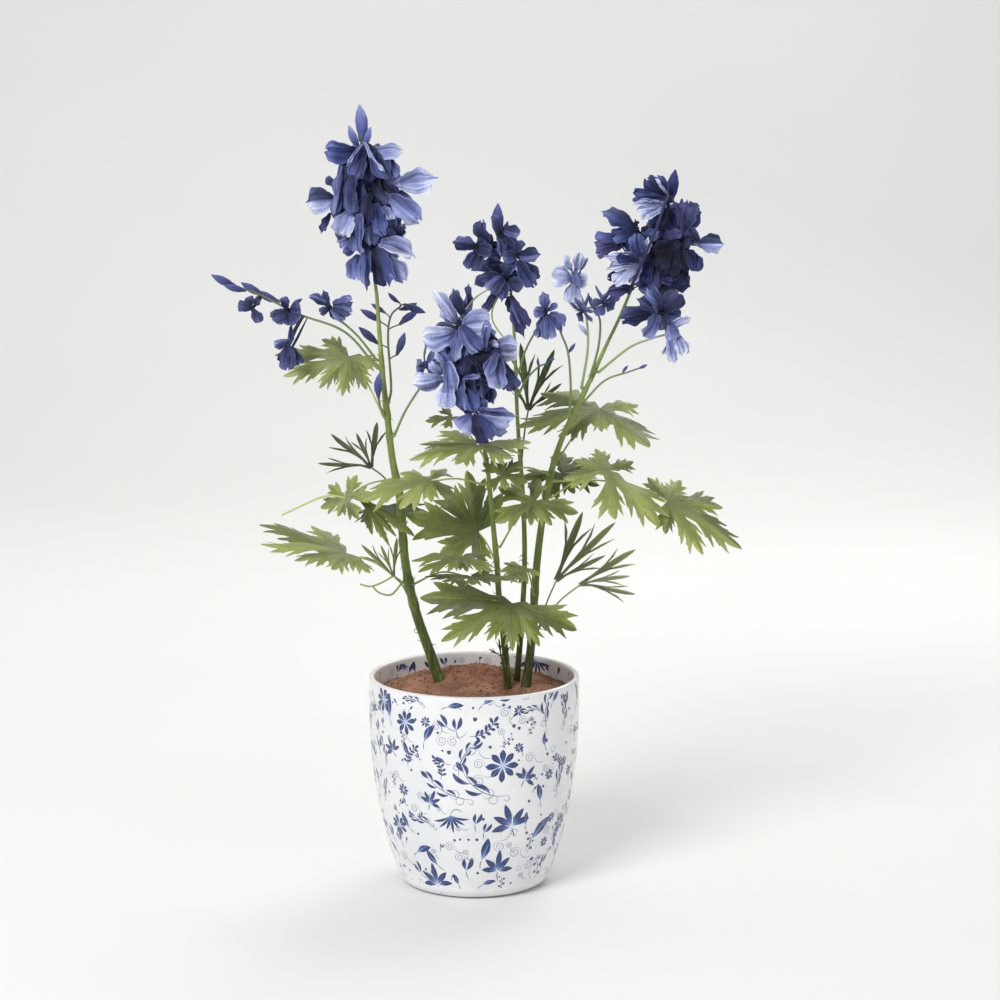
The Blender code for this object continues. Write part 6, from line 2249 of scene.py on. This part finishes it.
@dataclass(frozen=True)
class PetalForm:
    """One petal's shape: its heading in its flower, length in metres, rise, curl, twist, and its margin."""

    heading: float
    length: float
    cup: float
    curl: float
    twist: float
    ruffle: float
    lean: float
    wave: float
    widths: tuple[tuple[float, float], ...] = PETAL_WIDTHS
    fold: float = PETAL_FOLD
    start: float = 0.08
    rows: int = 13
    columns: int = 8

    def sheet(self, tone: PetalTone, stripe: float, light: float) -> Sheet:
        """The petal about its flower's middle, whose face looks along +Z."""
        radial = Vector((math.cos(self.heading), math.sin(self.heading), 0))
        across = Vector((-math.sin(self.heading), math.cos(self.heading), 0))
        sheet = Sheet()
        rows = []
        last = self.widths[-1][0]
        for n in range(self.rows + 1):
            along = self.start + (last - self.start) * (1 - (1 - n / self.rows) ** 1.25)
            half = level_at(self.widths, along)
            notch = 1 + 0.05 * math.sin(23 * along + self.wave) * smooth(0.4, 0.9, along)
            row = []
            for m in range(self.columns + 1):
                share = 2 * m / self.columns - 1
                aside = share * half * notch + self.lean * along ** 3
                rise = along * math.sin(self.cup) - self.curl * along * along
                rise += self.twist * aside - self.fold * abs(share * half)
                rise += self.ruffle * share * share * math.sin(10 * along + self.wave) * along
                rise += 0.3 * self.ruffle * math.sin(5 * share + self.wave) * smooth(0.5, 1.0, along)
                back = 0.030 * share * share * smooth(0.8, 1.0, along)
                out = radial * ((along - back) * math.cos(self.cup)) + across * aside + UP * rise
                tint = tone.at(along, abs(share), stripe, light)
                row.append(sheet.corner(out * self.length, tint, (along, share, 1.0)))
            rows.append(row)
        sheet.grid(rows, True)
        return sheet


@dataclass(frozen=True)
class SprayPiece:
    """A flower spray: its stalk, its flowers with their spurs and stamens, and its buds."""

    name: str
    seed: int
    material: bpy.types.Material

    def floret(self, body: Body, flower: tuple, line: Sequence[Vector], tone: PetalTone, draw: random.Random,
               extra: random.Random) -> None:
        """Adds one flower and its stalk.

        Args:
            body: the piece.
            flower: its (centre, width, turn, nod, roll).
            line: the spray's centre line, which its stalk leaves.
            tone: its colours.
            draw: the draws that shape its petals.
            extra: the draws for finer detail.
        """
        centre, width, turn, nod, roll = flower
        turn, nod = math.radians(turn), math.radians(nod)
        out = Vector((math.sin(turn) * math.cos(nod), -math.cos(turn) * math.cos(nod), math.sin(nod)))
        place = facing(out, Vector(centre) * MM) @ Matrix.Rotation(math.radians(roll), 4, "Z")
        reach = width * MM / 2
        step = 2 * math.pi / PETAL_COUNT
        for k in range(PETAL_COUNT):
            heading = math.pi / 2 + step * k + math.radians(draw.uniform(-9, 9))
            length = reach * draw.uniform(0.84, 1.08)
            cup = math.radians(draw.uniform(4, 40))
            curl = draw.uniform(0.10, 0.45)
            twist = draw.uniform(-0.45, 0.45)
            form = PetalForm(heading, length, cup, curl, twist, extra.uniform(0.03, 0.09),
                             extra.uniform(-0.10, 0.10), extra.uniform(0, 6.3))
            stripe = extra.choice((0.2, 0.5, 0.95))
            # Its underside is darkened to 0.86, a painted shade.
            form.sheet(tone, stripe, extra.uniform(-0.6, 1.0)).shell(body, place, PETAL_SHELL * MM, 0.86)
        self.bees(body, place, reach, tone, extra)
        self.stamens(body, place, reach, extra)
        self.spur(body, place, reach, tone)
        back = place @ Vector((0, 0, -0.2 * width * MM))
        spread = (back - nearest(line, back)).length
        start = nearest(line, back - UP * 0.6 * spread)
        path = [start, start.lerp(back, 0.55) + UP * 0.06 * spread,
                place @ Vector((0, 0, -NECK_DEPTH * reach)), place @ Vector((0, 0, 0.02 * reach))]
        neck, slim = 0.13 * reach, PEDICEL_RADIUS * MM * (0.72 if width < SLIM_FLOWER else 0.85)

        def radius(share: float) -> float:
            return slim + (neck - slim) * smooth(0.62, 0.95, share) + 0.25 * slim * math.exp(-share * 12)

        def tint(share: float) -> Colour:
            return blend(tone.stalk, tone.body, smooth(0.55, 0.85, share))

        body.tube(smooth_line(path, 6), radius, tint, 8)
        if width > BRACT_FLOWER:
            self.bract(body, smooth_line(path, 6)[7], out, tone, extra)

    def front(self, body: Body, line: Sequence[Vector], tone: PetalTone, extra: random.Random) -> None:
        """Adds the petals that the photo shows, each on a claw from the spray's line, and their hearts."""
        inner = [petal for tangle in TANGLES.get(self.name, ()) for petal in tangle.petals(extra)]
        for petal in [*PETALS.get(self.name, ()), *inner]:
            root = Vector((petal.x, petal.y, petal.z)) * MM
            near = nearest(line, root)
            anchor = nearest(line, root - UP * 0.35 * (root - near).length)
            # Its underside is darkened to 0.9, a painted shade.
            petal.sheet(anchor, extra).shell(body, Matrix.Identity(4), PETAL_SHELL * MM, 0.9)
        for stalk in STALKS.get(self.name, ()):
            body.tube(smooth_line(in_metres(stalk.line), 6), stalk.reach, stalk.tint, 7)
        for heart in HEARTS.get(self.name, ()):
            self.heart(body, heart, line, tone, extra)

    def heart(self, body: Body, heart: Heart, line: Sequence[Vector], tone: PetalTone,
              extra: random.Random) -> None:
        """Adds the inner petals, stamens, spur and slim stalk of a flower that faces the photo."""
        middle = Vector(PHOTO.place(heart.column, heart.row, heart.back)) * MM
        place = facing(Vector((0, -1, 0.1)).normalized(), middle)
        dark, body_hue, pale = heart.hue.value
        inner = PetalTone(dark, dark, body_hue, body_hue, pale, dark, pale, tone.stalk)
        self.bees(body, place, 2.2 * heart.size * MM, inner, extra)
        self.stamens(body, place, 2.0 * heart.size * MM, extra)
        self.spur(body, place, 1.7 * heart.size * MM, inner)
        start = nearest(line, middle - UP * 0.5 * (middle - nearest(line, middle)).length)
        path = smooth_line([start, start.lerp(middle, 0.5) + UP * 1.5 * MM, middle], 6)
        body.tube(path, lambda share: 0.55 * MM, lambda share: blend(tone.stalk, body_hue, share), 7)

    def bract(self, body: Body, root: Vector, out: Vector, tone: PetalTone, extra: random.Random) -> None:
        """Adds a pair of small narrow bracts on a flower's stalk."""
        for side in (-1, 1):
            aside = out.cross(UP).normalized() * side
            tip = root + (aside * extra.uniform(0.4, 0.8) + UP * extra.uniform(0.3, 0.9)) * 4.5 * MM
            body.tube(smooth_line([root, root.lerp(tip, 0.5) + aside * 0.5 * MM, tip], 3),
                      lambda share: (0.38 * math.sin(math.pi * (0.15 + 0.8 * share)) + 0.05) * MM,
                      lambda share: blend(tone.stalk, tone.body, 0.4 * share), 5)

    def bees(self, body: Body, place: Matrix, reach: float, tone: PetalTone, extra: random.Random) -> None:
        """Adds the four small inner petals: two pale and upright, two dark and low."""
        for heading, length, light in ((76, 0.46, 1.0), (104, 0.46, 1.0), (236, 0.40, 0.0), (304, 0.40, 0.0)):
            cup, curl = math.radians(extra.uniform(48, 66)), extra.uniform(0.05, 0.35)
            form = PetalForm(math.radians(heading), length * reach, cup, curl, 0.0, 0.12, 0.0,
                             extra.uniform(0, 6.3), BEE_WIDTHS, 0.1, 0.08, 7, 6)
            body_hue, end_hue = blend(tone.body, tone.bee, light), blend(tone.heart, tone.bee, light)
            margin = blend(tone.body, tone.bee, 0.3 + 0.7 * light)
            inner = PetalTone(tone.throat, tone.heart, body_hue, end_hue, margin, tone.stripe, tone.bee,
                              tone.stalk)
            # Its underside is darkened to 0.9, a painted shade.
            form.sheet(inner, 0.7, 0.2).shell(body, place, PETAL_SHELL * MM, 0.9)

    def stamens(self, body: Body, place: Matrix, reach: float, extra: random.Random) -> None:
        """Adds the dark cluster of stamens in the throat."""
        filament, anther = ink("565a8c"), ink("2b2a24")
        for k in range(8):
            angle = 2 * math.pi * k / 8 + extra.uniform(-0.3, 0.3)
            lean = extra.uniform(0.10, 0.24)
            aim = Vector((math.cos(angle) * lean, math.sin(angle) * lean - 0.06, 1)).normalized()
            length = reach * extra.uniform(0.22, 0.34)
            line = [place @ (aim * length * share) for share in (0.0, 0.5, 0.8, 0.88, 1.0)]
            body.tube(line, lambda share: (0.16 if share < 0.6 else 0.42 if share < 0.9 else 0.25) * MM,
                      lambda share: filament if share < 0.6 else anther, 5)

    def spur(self, body: Body, place: Matrix, reach: float, tone: PetalTone) -> None:
        """Adds the hollow spur that runs back and up behind the flower, drawn as a tapered horn."""
        line = [place @ (Vector(p) * reach) for p in ((0, 0.04, 0.02), (0, 0.10, -0.24), (0, 0.20, -0.52),
                                                      (0, 0.34, -0.78), (0, 0.52, -0.94))]
        body.tube(smooth_line(line, 3), lambda share: reach * (0.155 - 0.115 * share),
                  lambda share: blend(tone.body, tone.end, share), 9)

    def bud(self, body: Body, root: Vector, tip: Vector, line: Sequence[Vector], tone: PetalTone,
            extra: random.Random) -> None:
        """Adds one closed bud: a ridged spindle with two raised seams, on its stalk."""
        length = (tip - root).length
        start = nearest(line, root - UP * 0.5 * (root - nearest(line, root)).length)
        if (start - root).length > 1.5 * PEDICEL_RADIUS * MM:
            body.tube(smooth_line([start, start.lerp(root, 0.5) + UP * 0.3 * MM, root], 4),
                      lambda share: 0.5 * MM, lambda share: blend(tone.stalk, tone.body, 0.3 * share), 7)
        ahead = (tip - root).normalized()
        bend = ahead.orthogonal().normalized() * length * extra.uniform(-0.06, 0.06)
        spine = [root, root.lerp(tip, 0.35) + bend, root.lerp(tip, 0.7) + bend * 0.7, tip]
        plump = 0.76 if length < PLUMP_BUD * MM else 0.84
        stops = ((0.0, blend(tone.stalk, tone.heart, 0.5)), (0.25, blend(tone.heart, tone.body, 0.5)),
                 (0.7, tone.body), (1.0, blend(tone.body, tone.end, 0.6)))
        body.tube(smooth_line(spine, 5), lambda share: level_at(BUD_WIDTHS, share) * length * plump,
                  lambda share: along_stops(stops, share), 9, 0.10)
        seam = [spine[1], spine[2], tip + (spine[2] - spine[1]) * 0.02]
        side = ahead.cross(bend if bend.length else UP).normalized()
        for turn in (-1, 1):
            lifted = [point + side * turn * length * width for point, width in zip(seam, (0.14, 0.11, 0.02))]
            body.tube(smooth_line(lifted, 4),
                      lambda share: length * 0.05 * math.sin(math.pi * (0.1 + 0.85 * share)),
                      lambda share: blend(tone.body, tone.end, share), 5)

    def build(self) -> bpy.types.Object:
        """Makes the spray."""
        spray = SPRAYS[self.name]
        variety = VARIETIES.get(self.name, Variety.BLUE)
        tone = variety.value
        draw = random.Random(self.seed)
        extra = random.Random(self.seed + 100)
        points = in_metres(spray.line)
        stem = STEMS[spray.stem]
        if spray.joins is None:
            top, below = (Vector(p) * MM for p in (stem.line[-1], stem.line[-2]))
            line = smooth_line([top - (top - below).normalized() * MM] + points, 8)
        else:
            root = seat(spray.stem, spray.joins, points[0], spray.thick * MM)
            line = root[:2] + smooth_line([root[2]] + points, 8)
        body = Body()
        swell = 0.0 if spray.joins is None else 0.5
        green, blue = blend(Variety.PALE.value.stalk, tone.stalk, 0.5), blend(tone.stalk, tone.body, 0.5)
        body.tube(line, lambda share: (spray.thick + (spray.thin - spray.thick) * share
                                       + swell * math.exp(-share * 14)) * MM,
                  lambda share: blend(green, blue, share ** 2), 9, 0.06)
        for _ in range(spray.earlier * PETAL_COUNT * PETAL_DRAWS):
            draw.random()
        for flower in spray.flowers:
            self.floret(body, flower, line, tone, draw, extra)
        self.front(body, line, tone, extra)
        for root, tip in spray.buds:
            self.bud(body, Vector(root) * MM, Vector(tip) * MM, line, tone, extra)
        return body.build(self.name, self.material, [self.name], PETAL_SLOTS[variety])


@dataclass(frozen=True)
class Lamp:
    """A soft studio light: where it stands and the side of its square, in metres, and its power."""

    name: str
    place: Triple
    side: float
    power: float
    aim: Triple = (0.0, 0.0, 0.28)


@dataclass(frozen=True)
class Studio:
    """The pale floor that sweeps up behind the plant, the soft lights and the camera at the photo's angle."""

    lens: float = 100.0
    floor_side: float = 12.0
    sweep_start: float = 1.6
    sweep_radius: float = 1.4
    sweep_height: float = 5.0
    sky_grey: float = 0.9
    sky_strength: float = 0.42
    lamps: tuple[Lamp, ...] = (
        Lamp("key_light", (-1.0, -1.7, 1.5), 1.0, 38.0),
        Lamp("fill_light", (1.8, -1.4, 0.8), 1.8, 7.0),
        Lamp("rim_light", (0.7, 1.3, 1.5), 1.0, 10.0),
        Lamp("back_light", (0.0, 0.9, 2.6), 2.0, 26.0, (0.0, 2.8, 0.9)),
    )

    def add_lamp(self, lamp: Lamp) -> None:
        """Adds one area light that looks at its aim."""
        light = bpy.data.lights.new(lamp.name, "AREA")
        light.shape = "SQUARE"
        light.size = lamp.side
        light.energy = lamp.power
        thing = bpy.data.objects.new(lamp.name, light)
        thing.location = lamp.place
        away = Vector(lamp.aim) - Vector(lamp.place)
        thing.rotation_euler = away.to_track_quat("-Z", "Y").to_euler()
        bpy.context.scene.collection.objects.link(thing)

    def build(self) -> None:
        """Makes the floor, the lights, the sky and the camera."""
        half = self.floor_side / 2
        section = [(-half, 0.0)]
        for degrees in range(0, 91, 5):
            angle = math.radians(degrees)
            rise = self.sweep_radius * (1 - math.cos(angle))
            section.append((self.sweep_start + self.sweep_radius * math.sin(angle), rise))
        section.append((section[-1][0], self.sweep_height))
        corners = [(x, y, z) for y, z in section for x in (-half, half)]
        strips = [(2 * k, 2 * k + 1, 2 * k + 3, 2 * k + 2) for k in range(len(section) - 1)]
        mesh = bpy.data.meshes.new("floor")
        mesh.from_pydata(corners, [], strips)
        mesh.shade_smooth()
        mesh.materials.append(FloorFinish().material())
        floor = bpy.data.objects.new("floor", mesh)
        bpy.context.scene.collection.objects.link(floor)
        for lamp in self.lamps:
            self.add_lamp(lamp)
        world = bpy.data.worlds.new("studio")
        world.use_nodes = True
        sky = world.node_tree.nodes["Background"]
        sky.inputs["Color"].default_value = (self.sky_grey, self.sky_grey, self.sky_grey, 1)
        sky.inputs["Strength"].default_value = self.sky_strength
        bpy.context.scene.world = world
        lens = bpy.data.cameras.new("camera")
        lens.lens = self.lens
        camera = bpy.data.objects.new("camera", lens)
        camera.location = Vector((PHOTO.right, PHOTO.back, PHOTO.up)) * MM
        camera.rotation_euler = (math.radians(90 - PHOTO.pitch), 0, 0)
        bpy.context.scene.collection.objects.link(camera)
        bpy.context.scene.camera = camera
        bpy.context.scene.view_settings.view_transform = "Standard"


def main() -> None:
    """Builds the pot, the soil and the plant, then the studio around them."""
    logging.basicConfig(level=logging.INFO, format="%(name)s: %(message)s")
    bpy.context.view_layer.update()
    pot = Pot()
    pieces = [pot.build(), Print(pot).build(), Soil(pot).build()]
    stem_skin = StemFinish().material()
    leaf_skin = LeafFinish().material()
    petal_skin = PetalFinish().material()
    pieces += [StemPiece(name, stem_skin).build() for name in STEMS]
    pieces += [LeafPiece(name, leaf_skin).build() for name in LEAVES]
    pieces += [SprayPiece(name, seed + 1, petal_skin).build() for seed, name in enumerate(SPRAYS)]
    LOG.info("%d pieces", len(pieces))
    Studio().build()


if __name__ == "__main__":
    main()
